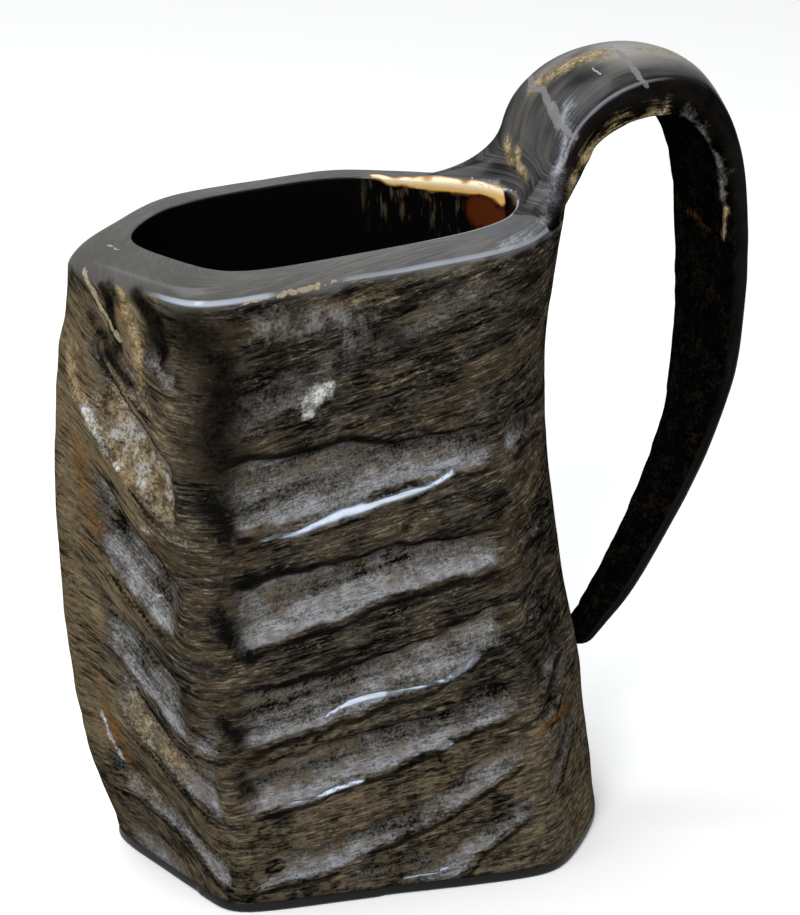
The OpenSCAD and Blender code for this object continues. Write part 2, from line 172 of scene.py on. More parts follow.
def along(stations, share):
    """Smooth curve through evenly spaced stations, read at a share of its length (Catmull-Rom)."""
    values = np.asarray(stations, float)
    share = np.asarray(share, float)
    t = np.clip(share, 0, 1) * (len(values) - 1)
    i = np.clip(np.floor(t).astype(int), 0, len(values) - 2)
    f = t - i
    if values.ndim > 1:
        f = f[..., None]
    padded = np.concatenate([2 * values[:1] - values[1:2], values, 2 * values[-1:] - values[-2:-1]])
    a, b, c, d = (padded[i + k] for k in range(4))
    return b + 0.5 * f * (c - a + f * (2 * a - 5 * b + 4 * c - d + f * (3 * (b - c) + d - a)))


def lumps(points, size, seed):
    """Random field from -1 to 1: values on a cubic lattice of that spacing, joined by smooth steps."""
    table = np.random.default_rng(seed).uniform(-1, 1, (32, 32, 32))
    cell = points / size
    low = np.floor(cell).astype(int)
    f = cell - low
    f = f * f * (3 - 2 * f)
    field = np.zeros(points.shape[:-1])
    for corner in itertools.product((0, 1), repeat=3):
        weight = np.prod(np.where(corner, f, 1 - f), axis=-1)
        i, j, k = (((low[..., n] + corner[n]) % 32) for n in range(3))
        field += weight * table[i, j, k]
    return field


# Marks on the horn, by look: the horn's own colours, and painted highlights, sheen and shade where
# noted. Width and strength, then the line of places they follow
MARKS = {}
MARKS["white"] = [
    (4, 1, [(-30, -29, 123), (-26, -29, 125)]),
    (2.2, 0.9, [(-29, -28, 121), (-30, -28, 120)]),
    (1.1, 1, [(64, -14, 168.8), (65, -14, 169)]),
    (2.8, 0.9, [(-68, 2, 118), (-67, -2, 112), (-65, -5, 107)]),
    (2.6, 0.9, [(-61, -10, 104), (-60, -12, 103)]),
    (2.2, 0.8, [(-59, -10, 75), (-58, -11, 77)]),
    (1.8, 0.8, [(-64, 8, 43), (-61, 7, 34), (-57, 6, 27)]),
    (2.6, 0.5, [(-61.7, -10.7, 93.7), (-58.6, -16.7, 94.2), (-53, -23, 93)]),
]
MARKS["grey"] = [
    (6.5, 0.75, [(-41, -30, 142), (-33, -30, 142), (-24, -29, 141), (-18, -29, 140)]),
    (3, 0.7, [(-21, -28, 137), (-20, -28, 134)]),
    (3.4, 0.8, [(-45, -28, 126), (-39, -28, 125)]),
    (2.6, 0.8, [(-37, -28, 125), (-31, -28, 124)]),
    (2.2, 0.8, [(70, -14, 168), (76, -12, 162), (80, -12, 155), (82, -11, 148), (82, -11, 144)]),
    # A painted glint: bluish-grey, in the hollow near the top of the left corner
    (3.4, 0.9, [(-61, -16, 136), (-60, -18, 132), (-59, -20, 130)]),
    (2.4, 0.6, [(-4, -29, 141), (4, -29, 142), (12, -29, 143)]),
    (2, 0.6, [(2, -28, 126), (10, -28, 127)]),
]
MARKS["land"] = [
    (3, 1, [(-8, -28, 87), (-1, -28, 88), (4, -28, 91)]),
    (2.2, 0.9, [(4, -28, 91), (7, -28, 95)]),
    (3, 0.8, [(14, -28, 104), (20, -27, 107)]),
    (2.5, 0.8, [(-42, -27, 108), (-34, -28, 109)]),
    (2.4, 0.9, [(2, -29, 40), (10, -31, 43)]),
    (3.6, 1, [(-42, -19, 8), (-38, -20, 9.5), (-35, -21, 11)]),
]
# Painted sheen: light-grey patches on the handle's crown where it reflects the light from above
MARKS["sheen"] = [
    (14, 1, [(61, 0, 182), (70, -1, 180), (78, 0, 174), (84, 2, 166), (88, 6, 156)]),
    (12, 1, [(66, 9, 181), (74, 9, 178), (82, 9, 171)]),
    (8, 0.5, [(47, 8, 175), (53, 8, 178), (60, 8, 181)]),
]
MARKS["tan"] = [
    (5.6, 1, [(44, 6, 173), (48, 3, 177), (56, 0, 180)]),
    (2.2, 1, [(37.6, 8.5, 161), (36.8, 6.2, 159.3), (36, 3.1, 157.5)]),
    (2.2, 1, [(37.5, 3, 161), (36.6, 0, 157.2), (35, -5, 155.3)]),
    # Gold-brown on the crown's right: the horn's tint, lightened in part as painted sheen
    (6, 0.65, [(66, -3, 181), (74, -3, 178), (79, -3, 174)]),
    (2.4, 0.95, [(38, -17, 147), (39.5, -17, 152.5), (42, -15, 156), (44, -14.5, 161)]),
    (2.4, 0.95, [(44, -14.5, 161), (48, -14.5, 164.3)]),
    (2.1, 1, [(48, -14.5, 164.3), (51.5, -14.5, 166.6), (55.6, -14.5, 168), (65, -14.2, 168.8)]),
    (1.5, 0.9, [(83, -11, 143), (83, -11, 136)]),
    (4, 0.5, [(1, -28, 21.6), (10, -30.6, 25.2), (15.7, -31.9, 28.9)]),
    (4.5, 0.5, [(-22, -29.5, 144.5), (-13, -29.6, 143.7), (-2, -29.5, 142)]),
    (3.2, 1, [(-64.6, -8.8, 147.5), (-63.4, -11, 141.8), (-62.5, -12.6, 135.5), (-62.2, -12.6, 127.6)]),
    (4, 1, [(-69, 5.5, 130), (-69, 4.8, 124), (-68.5, 3, 120)]),
    (3, 0.7, [(-68.5, 3, 120), (-66.5, -2, 113)]),
    (5, 1, [(-64.6, -5, 108.4), (-62.7, -8.5, 105), (-60.5, -11, 104.5)]),
    (1.4, 0.8, [(-19, -29, 125), (-11, -28, 123), (-4, -28, 125), (4, -28, 126)]),
    (3, 0.5, [(-16, -29, 128), (-8, -28, 125), (-1, -28, 126)]),
    (1.3, 0.8, [(-1, -28, 112), (2, -28, 115), (7, -28, 115), (9, -28, 112)]),
    (1.8, 0.7, [(-43, -27, 92), (-38, -28, 92), (-32, -29, 93)]),
    (2.4, 0.6, [(-50, -25, 60), (-48, -25, 58)]),
    (2.2, 0.7, [(-45, -22, 43), (-42, -23, 41)]),
    (1.6, 0.8, [(-38, -24, 8), (-30, -26, 9)]),
]
# Black: dents dug into the wall, darkened to near black as painted shade in the hollows
MARKS["black"] = [
    (3.6, 0.7, [(-67, 0.4, 138.7), (-66, -2.3, 135.6), (-64.6, -6.1, 133.2)]),
    (2.2, 0.8, [(-61.5, -14.5, 139), (-60.8, -16.8, 135.4)]),
    (8.8, 0.45, [(-50, -26, 104), (-48, -27, 92), (-47, -27, 72), (-44, -24, 46), (-42, -23, 30)]),
    (2.2, 0.8, [(-66, -6, 149), (-65, -8, 145)]),
    (3.8, 0.5, [(-50, -28, 128), (-44, -28, 126)]),
    (4.2, 0.8, [(-13, -28, 135), (-8, -29, 133)]),
    (2.5, 0.8, [(-23, -28, 120), (-25, -28, 118)]),
    (5.5, 0.85, [(-52, -25, 103), (-50, -26, 99), (-48, -26, 94)]),
    (5.8, 0.85, [(-50, -25, 76), (-46, -25, 69), (-43, -25, 66)]),
    (4.2, 1, [(-48, -22, 50), (-45, -23, 44)]),
    (4.2, 1, [(-43, -22, 34), (-41, -22, 30)]),
    (2, 1, [(-59, -13, 103), (-60, -13, 102)]),
    (2.5, 0.8, [(-6, -28, 90), (-3, -28, 92)]),
]
MARKS["dark"] = [
    (2.2, 1, [(-66.4, -3.8, 147.7), (-65.5, -5.7, 143.8), (-64.8, -6.8, 137.3), (-64.2, -8.2, 133.8)]),
    (4.3, 1, [(-62.5, -14.4, 147.2), (-61, -17.5, 143.5), (-60, -19, 138), (-60.8, -16.8, 133.9)]),
    (3, 0.7, [(-65.8, -3.6, 132.6), (-64.4, -7.5, 130.1), (-63.3, -9.9, 126.9)]),
    (12, 0.62, [(-56, -26, 143), (-51, -28, 136), (-50, -28, 127), (-51, -26, 118), (-49, -27, 112)]),
]
MARKS["orange"] = [
    (2.8, 1, [(-68, 4, 129), (-68, 3, 126)]),
    (5, 0.7, [(-70, 5, 110), (-67, 5, 98), (-66, 1, 90)]),
    (1.8, 0.9, [(42, -19, 37), (37, -24, 37), (32, -28, 37), (25, -32, 35)]),
    (4, 0.7, [(-64, 6, 47), (-61, 5, 36), (-55, 3, 25)]),
    (2.8, 0.5, [(82, 7, 139), (82, -2, 137), (83, -9, 135)]),
    (2, 0.5, [(46, -6, 172), (44, 0, 172)]),
    (2.5, 0.5, [(-60, -12, 118), (-58, -16, 112)]),
]
# Lips: lighter worn horn along the valleys' lower lips, with painted bluish-white highlights on it
MARKS["lip"] = [
    (1.3, 0.95, [(-41, -27, 93.3), (-37.6, -27.3, 93.2), (-33.2, -27.5, 93.2)]),
    (1.6, 1, [(-35.5, -27.4, 93.2), (-33.2, -27.5, 93.3), (-27.3, -27.7, 94.5)]),
    (2.1, 1, [(-30, -27.6, 94), (-27.3, -27.7, 94.5), (-21.3, -27.7, 95.8)]),
    (2.8, 1, [(-24, -27.7, 95.2), (-21.3, -27.7, 95.8), (-17, -27.7, 96.3)]),
    (2.2, 1, [(-16, -27.7, 96.3), (-8.8, -27.9, 97.2), (-2.8, -28.1, 97.8)]),
    (1.6, 1, [(-2.8, -28.1, 97.8), (1.7, -27.9, 99), (5.5, -27.7, 100.4)]),
    (1.5, 1, [(-24.8, -25.5, 47.9), (-20.9, -25.8, 49.3), (-15.3, -26.6, 50.4)]),
    (2.4, 1, [(-19.5, -25.9, 49.7), (-15.3, -26.6, 50.4), (-11.4, -27.4, 50.7)]),
    (1.4, 1, [(-10.9, -27.4, 50.7), (-3, -29, 51), (4, -30, 52.5)]),
    (2.2, 0.78, [(4, -30, 52.5), (7, -30.3, 54), (10, -30.1, 56.5)]),
    (1.3, 1, [(-33.9, -23.1, 26.8), (-28.4, -24.4, 27.4), (-22.2, -25.5, 29.5), (-16.7, -26.7, 30.8)]),
    (1.1, 1, [(-11.4, -27, 34.2), (-3.6, -28.9, 35)]),
    (1.5, 0.85, [(1.5, -29.8, 35.9), (3.9, -30.3, 36.6)]),
    (1.1, 0.95, [(-6.1, -26.5, 4.2), (1.4, -27.6, 4.6), (5, -28.6, 5.7), (7.4, -29.4, 6.6)]),
    (2.2, 0.8, [(11.9, -30.4, 9.1), (13.2, -30.8, 9.8)]),
    (2, 0.75, [(18, -32.3, 17.2), (23.5, -32.8, 19.6)]),
]
MARKS["floor"] = [
    (2.4, 0.9, [(-43, -27, 95), (-37.6, -27.3, 94.8), (-33, -27.5, 95), (-27, -27.7, 96.2)]),
    (4.2, 0.9, [(-17, -25, 7), (-8, -26.8, 7.4), (-0.3, -28, 8.4), (7.5, -29.1, 10)]),
]
# Pale: painted soft highlights around the handle's root and along the rim's front right edge
MARKS["pale"] = [
    (4, 0.8, [(43.4, -8.8, 171.9), (41.3, -10, 168.5), (41, -13.1, 166.7)]),
    (3.4, 0.6, [(33.1, -17.3, 153.2), (34.1, -16.3, 154.3), (36.2, -14.7, 156.9), (37.8, -13.8, 159.4)]),
    (2.6, 0.9, [(37.8, -13.8, 159.4), (40.9, -12.8, 166.6)]),
    (2.8, 0.9, [(17.5, -27.8, 150), (22.4, -26.5, 150.5), (26, -24.9, 151)]),
    (2.8, 0.9, [(26, -24.9, 151), (29.9, -22, 151.5), (32.8, -19.1, 152)]),
    (4, 0.5, [(33, -19, 152), (36, -17, 153), (38, -15, 156)]),
    (2, 0.7, [(31, 8, 152), (33, 4, 152.5)]),
]
# Amber: the horn's amber end inside the rim, painted light as if lit through
MARKS["amber"] = [
    (1.7, 0.7, [(12, 22, 151.6), (20, 16, 151.1)]),
    (2.2, 1, [(20, 16, 151.3), (25, 12, 151.1), (29, 8, 150.9), (31.5, 4, 150.7), (32.5, 1, 150.3)]),
]
MARKS["red"] = [
    (6.5, 1, [(30.5, 6, 145), (32.3, 2, 144)]),
]
MARKS["smoke"] = [
    (9, 1, [(15, 20, 147), (25, 12, 145), (30, 7, 144)]),
]


# Crisp marks: grey scuffs, pale scratches and tan splinters, each a half width and its line of places
SCUFFS = [
    (0.7, [(59.9, 2.5, 181.3), (59.9, -2, 180.7)]),
    (0.9, [(59.9, -2, 180.7), (59.1, -9.3, 179.1), (58.9, -13.1, 177.4)]),
    (0.6, [(58.9, -13.1, 177.4), (60.1, -14.6, 175.4)]),
    (1.0, [(46.1, 12.6, 172.8), (43, 6.3, 172.2), (43.2, 2.1, 173), (41.7, -4.5, 171)]),
    (1.7, [(41.7, -4.5, 171), (41.1, -8.9, 168.6)]),
    (1.1, [(41.1, -8.9, 168.6), (42, -14.4, 166.9)]),
]
SCRATCHES = [
    (0.28, [(52, -4, 179), (52, -7, 178), (53, -9, 177)]),
    (0.25, [(46, -8, 176), (48, -8, 177)]),
    (0.3, [(38, 9, 164), (39, 7, 165), (38, 5, 163)]),
    (0.4, [(29.4, 8.7, 152.5), (30.2, 6.5, 152), (31.2, 4.3, 151.8)]),
    (0.45, [(33, 1, 152), (33.5, -3, 152.5)]),
    (0.3, [(-59, 7, 152), (-59, 4, 152)]),
    (0.14, [(-7.7, -28.2, 89.5), (-4.6, -28.2, 90.8), (-2.1, -28.2, 94.3)]),
]
SPLINTERS = [
    (0.75, [(-67.8, 2.1, 149.9), (-67.1, -1.3, 146), (-66.1, -3.8, 141.7), (-64.3, -8.1, 136.5)]),
    (0.35, [(-46.3, -29.8, 148.1), (-41.6, -30.1, 148.6), (-35, -30, 149.1)]),
    (0.9, [(-38, -30, 148.8), (-33, -30, 149.1), (-28.5, -29.8, 149.3)]),
    (0.6, [(-28.5, -29.8, 149.3), (-23.5, -29.6, 149.7)]),
]


# Lips are met from the front, so how deep a point lies counts for little in its distance to them
FACING = np.array([1, 0.3, 1])


def marks_at(points, finish, wobble=0.7):
    """How much of one look's marks lies at each point: 1 on a mark's line, 0 one width away."""
    wobbly = points + np.stack([lumps(points, 3.1, seed) for seed in (21, 22, 23)], axis=-1) * wobble
    field = np.zeros(points.shape[:-1])
    for width, strength, line in MARKS[finish]:
        line = np.array(line, float) * (FACING if finish == "lip" else 1)
        for start, stop in zip(line[:-1], line[1:]):
            way = stop - start
            share = np.clip((wobbly - start) @ way / (way @ way), 0, 1)[..., None]
            gap = np.linalg.norm(wobbly - start - share * way, axis=-1)
            field = np.maximum(field, strength * tent(gap, width))
    return field


# The cup's wall

def pull_of_flats(angle, z, wall, power):
    """Each flat's say at an angle: (cosine to the flat / distance of the flat) to a high power."""
    level = z / RIM_HEIGHT
    distances = HALF_WIDTH * along(FLAT_SHARES, level) - wall
    turn = np.radians(along(FLAT_ANGLES, level))
    return (np.maximum(0, np.cos(angle[..., None] - turn)) / distances) ** power


def outline_radius(angle, z, wall=0, power=CORNER_POWER):
    """Distance from the axis to the outline that the flats make together, less a wall."""
    return pull_of_flats(angle, z, wall, power).sum(-1) ** (-1 / power)


def wall_at(z):
    """Wall thickness behind each flat: the base wall below, growing to the rim's walls above."""
    rim = np.array([RIM_RIGHT_WALL, RIM_WALL, RIM_WALL, RIM_WALL, RIM_LEFT_WALL, RIM_WALL, RIM_WALL])
    return mix(BASE_WALL, rim, smooth(WALL_START_SHARE, 1, z / RIM_HEIGHT)[..., None])


def polar(angle, z, radius):
    """Point at an angle and radius from the cup's leaning axis."""
    level = z / RIM_HEIGHT
    x = HALF_WIDTH * along(LEAN_X_SHARES, level) + radius * np.cos(angle)
    y = HALF_WIDTH * along(LEAN_Y_SHARES, level) + radius * np.sin(angle)
    return np.stack([x, y, z + 0 * radius], axis=-1)


def ring_rise(x, y):
    """How a ring climbs away from the front left corner: (run to the right, share around the left)."""
    run = np.maximum(0, x / HALF_WIDTH + 0.86)
    back = smooth(-0.36, 0.18, y / HALF_WIDTH) * (1 - smooth(-0.8, 0.62, x / HALF_WIDTH))
    return run, back


def rings(angle, points):
    """Depth of the growth rings' valleys, and their masks. Across a valley u goes from -1 at its lower
    edge to 1 at its upper edge: the wall drops fast under the upper land, lies flat, rises slowly and
    ends in a rounded lip. Lumps shift the edges, and the valleys fade before the left corners."""
    x, y, z = (points[..., n] for n in range(3))
    run, back = ring_rise(x, y)
    shaky = z
    for shift, spacing, seed in EDGE_SHIFTS:
        shaky = shaky + shift * lumps(points, spacing, seed)
    pull = pull_of_flats(angle, z, 0, 5)
    flat = pull.max(-1) / pull.sum(-1) + (0.04 + 0.14 * smooth(0, 14, y)) * lumps(points, 6, 4)
    right = smooth(0.5, 1.1, run)
    side = smooth(-50, -56, x)
    behind = np.maximum(smooth(0, 10, y) * smooth(-64, -56, x), smooth(28, 40, x))
    low, high = (mix(mix(mix(shares[0], shares[1], right), shares[2], side), shares[3], behind)
                 for shares in (FADE_START_SHARES, FADE_END_SHARES))
    reach = smooth(low, high, flat)
    reach *= smooth(RIM_HEIGHT - RING_FREE_HEIGHT / 3, RIM_HEIGHT - RING_FREE_HEIGHT, z)
    depth = np.zeros(x.shape)
    masks = {name: np.zeros(x.shape) for name in ("floor", "lower", "lip", "under", "crease_shade", "crust")}
    for i in range(len(RING_HEIGHT_SHARES)):
        middle = (RING_HEIGHT_SHARES[i] * RIM_HEIGHT + RING_BACK_RISE * RING_BACK_SHARES[i] * back
                  + HALF_WIDTH * (RING_RISE_SHARES[i] * run + RING_CURVE_SHARES[i] * run * run))
        half = (RING_HALF_HEIGHT * RING_HALF_SHARES[i] * (1 + 0.25 * back)
                * (1 - RING_TAPER_SHARES[i] * np.minimum(1, run / RING_TAPER_RUN)))
        u = (shaky - middle) / half
        rise = 0.5 * smooth(-0.9, 0.1, u) + 0.5 * smooth(-1.14, -0.82, u)
        depth += RING_DEPTH * RING_DEPTH_SHARES[i] * smooth(1.02, 0.66, u) * rise
        share = min(1, RING_DEPTH_SHARES[i] * 2.2)
        floor = share * smooth(0.98, 0.76, u) * smooth(-1.02, -0.84, u)
        masks["floor"] += floor
        # Painted light: the upward-facing lower half of each valley floor, made lighter and bluish in the
        # material
        masks["lower"] += floor * smooth(0.5, -0.7, u)
        # Lip highlight: a band along each valley's lower lip, lighter worn horn with a painted bluish-white
        # highlight
        lip = 0.55 * share * tent((u + 0.86) * half, 2.2)
        masks["lip"] = np.maximum(masks["lip"], lip)
        # Painted shadow: a dark line just under each valley's lip
        masks["under"] += share * tent((u + 1.02) * half + 0.9, 1.5)
        # Painted shade: a dark band along each valley's upper edge, under the overhanging land
        masks["crease_shade"] += share * CREASE_SHADE_SHARES[i] * smooth(0.62, 0.84, u) * smooth(1.2, 1.0, u)
        masks["crust"] += floor * side * CRUST_SHARES[i] * smooth(0.75, 0.1, u)
    masks = {name: mask * reach for name, mask in masks.items()}
    masks["corner"] = smooth(13, 3, np.hypot(x + 53, (y + 24) * 0.8))
    upper = smooth(88, 98, z)
    masks["faded"] = smooth(mix(12, 18, upper), mix(26, 31, upper), x) * (y < 5)
    masks["side"] = smooth(-57, -64, x)
    return depth * reach * (1 - 0.2 * masks["faded"]) * mix(0.2, 1, smooth(1, 9, z)), masks


def outer_wall(angle, z, inset=0.0):
    """Outside of the cup: a seven-sided outline with rounded corners, less the rings' relief, the
    step under the rim's left end, a nick in the front of the rim's edge and a slight unevenness."""
    radius = outline_radius(angle, z)
    plain = polar(angle, z, radius)
    depth, masks = rings(angle, plain)
    left = np.radians(along(np.array(FLAT_ANGLES)[:, 4], z / RIM_HEIGHT))
    step = RIM_STEP * smooth(-0.4 * RIM_STEP_HEIGHT, 0, z - RIM_HEIGHT + RIM_STEP_HEIGHT)
    step = step * smooth(0.2, 0.75, np.cos(angle - left))
    x, y = plain[..., 0], plain[..., 1]
    nick = NICK_DEPTH * smooth(-25, -21, x) * smooth(-15, -24, y)
    nick = nick * smooth(RIM_HEIGHT - 9, RIM_HEIGHT - 4, z)
    free = smooth(RIM_HEIGHT - 2, RIM_HEIGHT - 8, z) * smooth(PLATE_THICKNESS, PLATE_THICKNESS + 5, z)
    worn = np.clip(0.35 + 0.4 * lumps(plain, 15, 5) + 0.15 * lumps(plain, 5, 6), 0, None)
    pits = np.clip(0.3 * smooth(0.1, 0.7, lumps(plain, 2.2, 7)) + 0.15 * lumps(plain, 1.3, 8), 0, None)
    wavy = WAVE_DEPTH * (1 + lumps(plain, 9, 10))
    dug = DENT_DEPTH * marks_at(plain, "black") * smooth(RIM_HEIGHT - 6, RIM_HEIGHT - 12, z)
    depth = depth + free * (worn * WORN_DEPTH + pits * (0.15 + masks["floor"])) + wavy + dug
    return polar(angle, z, radius - depth - step - nick - inset), masks


def inner_wall(angle, z, inset=0.0):
    """Inside of the cup: the same outline moved in by the wall, with softer corners."""
    return polar(angle, z, outline_radius(angle, z, wall_at(z), INNER_CORNER_POWER) - inset)


def column_angles():
    """Directions of the columns: closer together at both ends of the cup's long axis."""
    turn = np.linspace(0, 2 * math.pi, COLUMNS, endpoint=False)
    root = math.atan2(-LEAN_Y_SHARES[-1], FLAT_SHARES[-1][0])
    return root + np.arctan2(np.sin(turn), END_CROWDING * np.cos(turn))


def cup_grid():
    """Rows up the outside, over the rim's sloped edge, across its flat top and down the inside.
    Gives the points, the masks and the grain coordinates of each row and column."""
    angle = column_angles()
    edge_start = RIM_HEIGHT - RIM_BEVEL
    z = np.linspace(PLATE_THICKNESS, edge_start, OUTER_ROWS)
    f = np.arange(1, BEVEL_STEPS + 1) / BEVEL_STEPS
    z = np.concatenate([z, edge_start + RIM_BEVEL * (1 - (1 - f) ** BEVEL_POWER)])
    inset = np.concatenate([np.zeros(OUTER_ROWS), RIM_BEVEL_RUN * f ** BEVEL_RUN_POWER])
    z_grid, angle_grid = np.meshgrid(z, angle, indexing="ij")
    outer, masks = outer_wall(angle_grid, z_grid, inset[:, None])

    at_rim = np.full(COLUMNS, float(RIM_HEIGHT))
    edge = [inner_wall(angle, at_rim - RIM_INNER_ROUND * (1 - math.sin(t)),
                       -RIM_INNER_ROUND * (1 - math.cos(t))) for t in np.radians([90, 60, 30, 0])]
    shares = (np.arange(1, FLAT_STEPS + 1) / (FLAT_STEPS + 1))[:, None, None]
    flat = mix(outer[-1], edge[0], shares)
    down = (np.arange(1, INNER_ROWS + 1) / INNER_ROWS) ** DOWN_POWER
    down = mix(RIM_HEIGHT - RIM_INNER_ROUND, PLATE_THICKNESS, down)
    z_grid, angle_grid = np.meshgrid(down, angle, indexing="ij")
    points = np.concatenate([outer, flat, np.array(edge), inner_wall(angle_grid, z_grid)])

    spare = np.zeros((len(points) - len(outer), COLUMNS))
    masks = {name: np.concatenate([mask, spare]) for name, mask in masks.items()}
    row = np.arange(len(points))[:, None] + np.zeros(COLUMNS)
    x, y = points[..., 0], points[..., 1]
    masks["polish"] = smooth(OUTER_ROWS - 2.5, OUTER_ROWS + 0.5, row + 1.6 * lumps(points, 6, 9))
    masks["inside"] = (row > INSIDE_ROW + 1).astype(float)
    # Painted highlight: a bluish-white line where the rim's sloped edge meets the wall, thicker at the left
    front = smooth(8, -6, y) * (1 - 0.9 * smooth(-40, -36, x) * smooth(-21, -25, x))
    masks["arris_highlight"] = (front * smooth(-66, -57, x) * (0.8 + 0.2 * smooth(-34, -44, x))
                      * tent(row - OUTER_ROWS - 0.4, mix(1.6, 1.9, smooth(-34, -44, x))))
    # Painted highlight: a pale line along the rim's inner edge at the front right
    masks["bright"] = tent(row - INSIDE_ROW - 0.5, 2) * smooth(-14, 6, x) * (y < -7)
    run, back = ring_rise(x, y)
    climb = HALF_WIDTH * 0.13 * run + 0.8 * RING_BACK_RISE * back
    beyond = np.linalg.norm(np.diff(points[OUTER_ROWS - 1:], axis=0), axis=-1)
    climbed = points[..., 2].copy()
    climbed[OUTER_ROWS:] = climbed[OUTER_ROWS - 1] + np.cumsum(beyond, axis=0)
    grain = np.stack([0.12 * x, 0.12 * y, climbed - climb], axis=-1)
    return points, masks, grain


# The handle

def handle_path():
    """Stations of the strip's centreline in the plane y = 0, as (x, z)."""
    drop = RIM_HEIGHT - TIP_HEIGHT
    root_x = HALF_WIDTH * (LEAN_X_SHARES[-1] + FLAT_SHARES[-1][0]) - 0.5 * RIM_RIGHT_WALL
    tip_z = np.array([RIM_HEIGHT + PATH_HEIGHT_SHARES[-1] * drop])
    root_angle = np.array([math.atan2(-LEAN_Y_SHARES[-1], FLAT_SHARES[-1][0])])
    cup_x = polar(root_angle, tip_z, outline_radius(root_angle, tip_z))[0, 0]
    tip_x = cup_x + TIP_GAP + 0.5 * HANDLE_THICKNESS * THICKNESS_SHARES[-1]
    heights = np.array(PATH_HEIGHT_SHARES)
    x = root_x + (tip_x - root_x) * np.array(PATH_TIP_SHARES) + HANDLE_REACH * np.array(PATH_REACH_SHARES)
    z = RIM_HEIGHT + heights * np.where(heights > 0, ARCH_RISE, drop)
    return np.stack([x, z], axis=-1)


def path_direction(path, share):
    """Direction of the path at a share of its length, as (x, z)."""
    step = 0.25 / len(path)
    return unit(along(path, np.minimum(1, share + step)) - along(path, np.maximum(0, share - step)))


def arc(across, out, radius, start, stop, count):
    """Points of a corner: a circle's arc around (across, out), without its last point."""
    a = np.radians(start + (stop - start) * np.arange(count) / count)
    return [across + radius * np.cos(a), out + radius * np.sin(a)]


def line(start, stop, count):
    """Evenly spaced points of a straight edge, without its last point."""
    f = np.arange(count) / count
    return [start[0] + (stop[0] - start[0]) * f, start[1] + (stop[1] - start[1]) * f]


def strip_section(share):
    """Cross-section of the strip at a share of the path: a flat bar with rounded edges whose polished
    face and inner face are crowned, as (across, out), out being towards the polished face."""
    w = HANDLE_WIDTH / 2 * along(WIDTH_SHARES, share)
    h = HANDLE_THICKNESS / 2 * along(THICKNESS_SHARES, share)
    edge = float(along(EDGE_SHARES, share))
    r, q = h * edge, h * min(0.95, edge + 0.1)
    side_steps = BEVEL_STEPS + FLAT_STEPS + 1
    edge_steps = side_steps - 2 * CORNER_STEPS - 1
    face = FACE_SHARE * (w - r)
    parts = [arc(-w + q, -h + q, q, 270, 180, CORNER_STEPS), line((-w, -h + q), (-w, h - r), 1),
             arc(-w + r, h - r, r, 180, 90, CORNER_STEPS), line((-w + r, h), (-face, h), edge_steps),
             line((-face, h), (face, h), 2 * ROOT_COLUMNS), line((face, h), (w - r, h), edge_steps),
             arc(w - r, h - r, r, 90, 0, CORNER_STEPS), line((w, h - r), (w, -h + q), 1),
             arc(w - q, -h + q, q, 0, -90, CORNER_STEPS), line((w - q, -h), (-w + q, -h), 2 * ROOT_COLUMNS)]
    across = np.concatenate([part[0] for part in parts])
    out = np.concatenate([part[1] for part in parts])
    top = HANDLE_CROWN * along(CROWN_SHARES, share)
    under = HANDLE_CROWN * along(INNER_CROWN_SHARES, share)
    out = out + np.where(out > 0, top, under) * (1 - (across / w) ** 2) * out / h
    return across, out


def strip_ring(path, share):
    """The section carried to its place on the path, square to the path."""
    across, out = strip_section(share)
    centre, way = along(path, share), path_direction(path, share)
    return np.stack([centre[0] - out * way[1], across, centre[1] + out * way[0]], axis=-1)


def root_loop():
    """Cells (row, column) of the loop on the rim that the handle grows out of, in the ring's order."""
    first, last = OUTER_ROWS - 1, INSIDE_ROW
    n = ROOT_COLUMNS
    cells = [(r, -n) for r in range(first, last)] + [(last, j) for j in range(-n, n)]
    cells += [(r, n) for r in range(last, first, -1)] + [(first, j) for j in range(n, -n, -1)]
    return np.array(cells)


def handle_rings(grid):
    """Rings from the rim to the tip: a blend that leaves the rim along its surface (Hermite curves),
    then the strip carried along its path, then the rounded tip. Also each ring's distance along."""
    path = handle_path()
    cells = root_loop()
    row, column = cells[:, 0], cells[:, 1] % COLUMNS
    loop = grid[row, column]
    round_way = grid[row, (column + 2) % COLUMNS] - grid[row, (column - 2) % COLUMNS]
    normal = unit(np.cross(round_way, grid[row + 2, column] - grid[row - 2, column]))
    first = strip_ring(path, 0)
    way = first - loop
    reach = np.linalg.norm(way, axis=-1, keepdims=True)
    along_wall = unit(way) - normal * (normal * unit(way)).sum(-1, keepdims=True)
    leave = reach * mix(*LEAVE_SHARES, np.abs(normal[:, 2:])) * unit(along_wall + [0, 0, 0.15])
    start = path_direction(path, 0)
    arrive = reach * np.array([start[0], 0, start[1]])
    t = (np.arange(1, BLEND_RINGS) / BLEND_RINGS)[:, None, None]
    blend = ((2 * t**3 - 3 * t**2 + 1) * loop + (t**3 - 2 * t**2 + t) * leave
             + (3 * t**2 - 2 * t**3) * first + (t**3 - t**2) * arrive)
    shares = np.linspace(0, 1, SWEEP_RINGS)
    sweep = np.array([strip_ring(path, s) for s in shares])
    end, end_way = path[-1], path_direction(path, 1)
    end, end_way = np.array([end[0], 0, end[1]]), np.array([end_way[0], 0, end_way[1]])
    f = np.sin(np.arange(1, TIP_RINGS) / TIP_RINGS * math.pi / 2)[:, None, None]
    tip = end + (sweep[-1] - end) * np.sqrt(1 - f * f) + end_way * TIP_ROUND * f
    rings_ = np.concatenate([blend, sweep, tip])
    middles = np.concatenate([loop[None], rings_]).mean(1)
    distance = np.concatenate([[0], np.cumsum(np.linalg.norm(np.diff(middles, axis=0), axis=-1))])
    return cells, rings_, distance[1:], end + end_way * TIP_ROUND


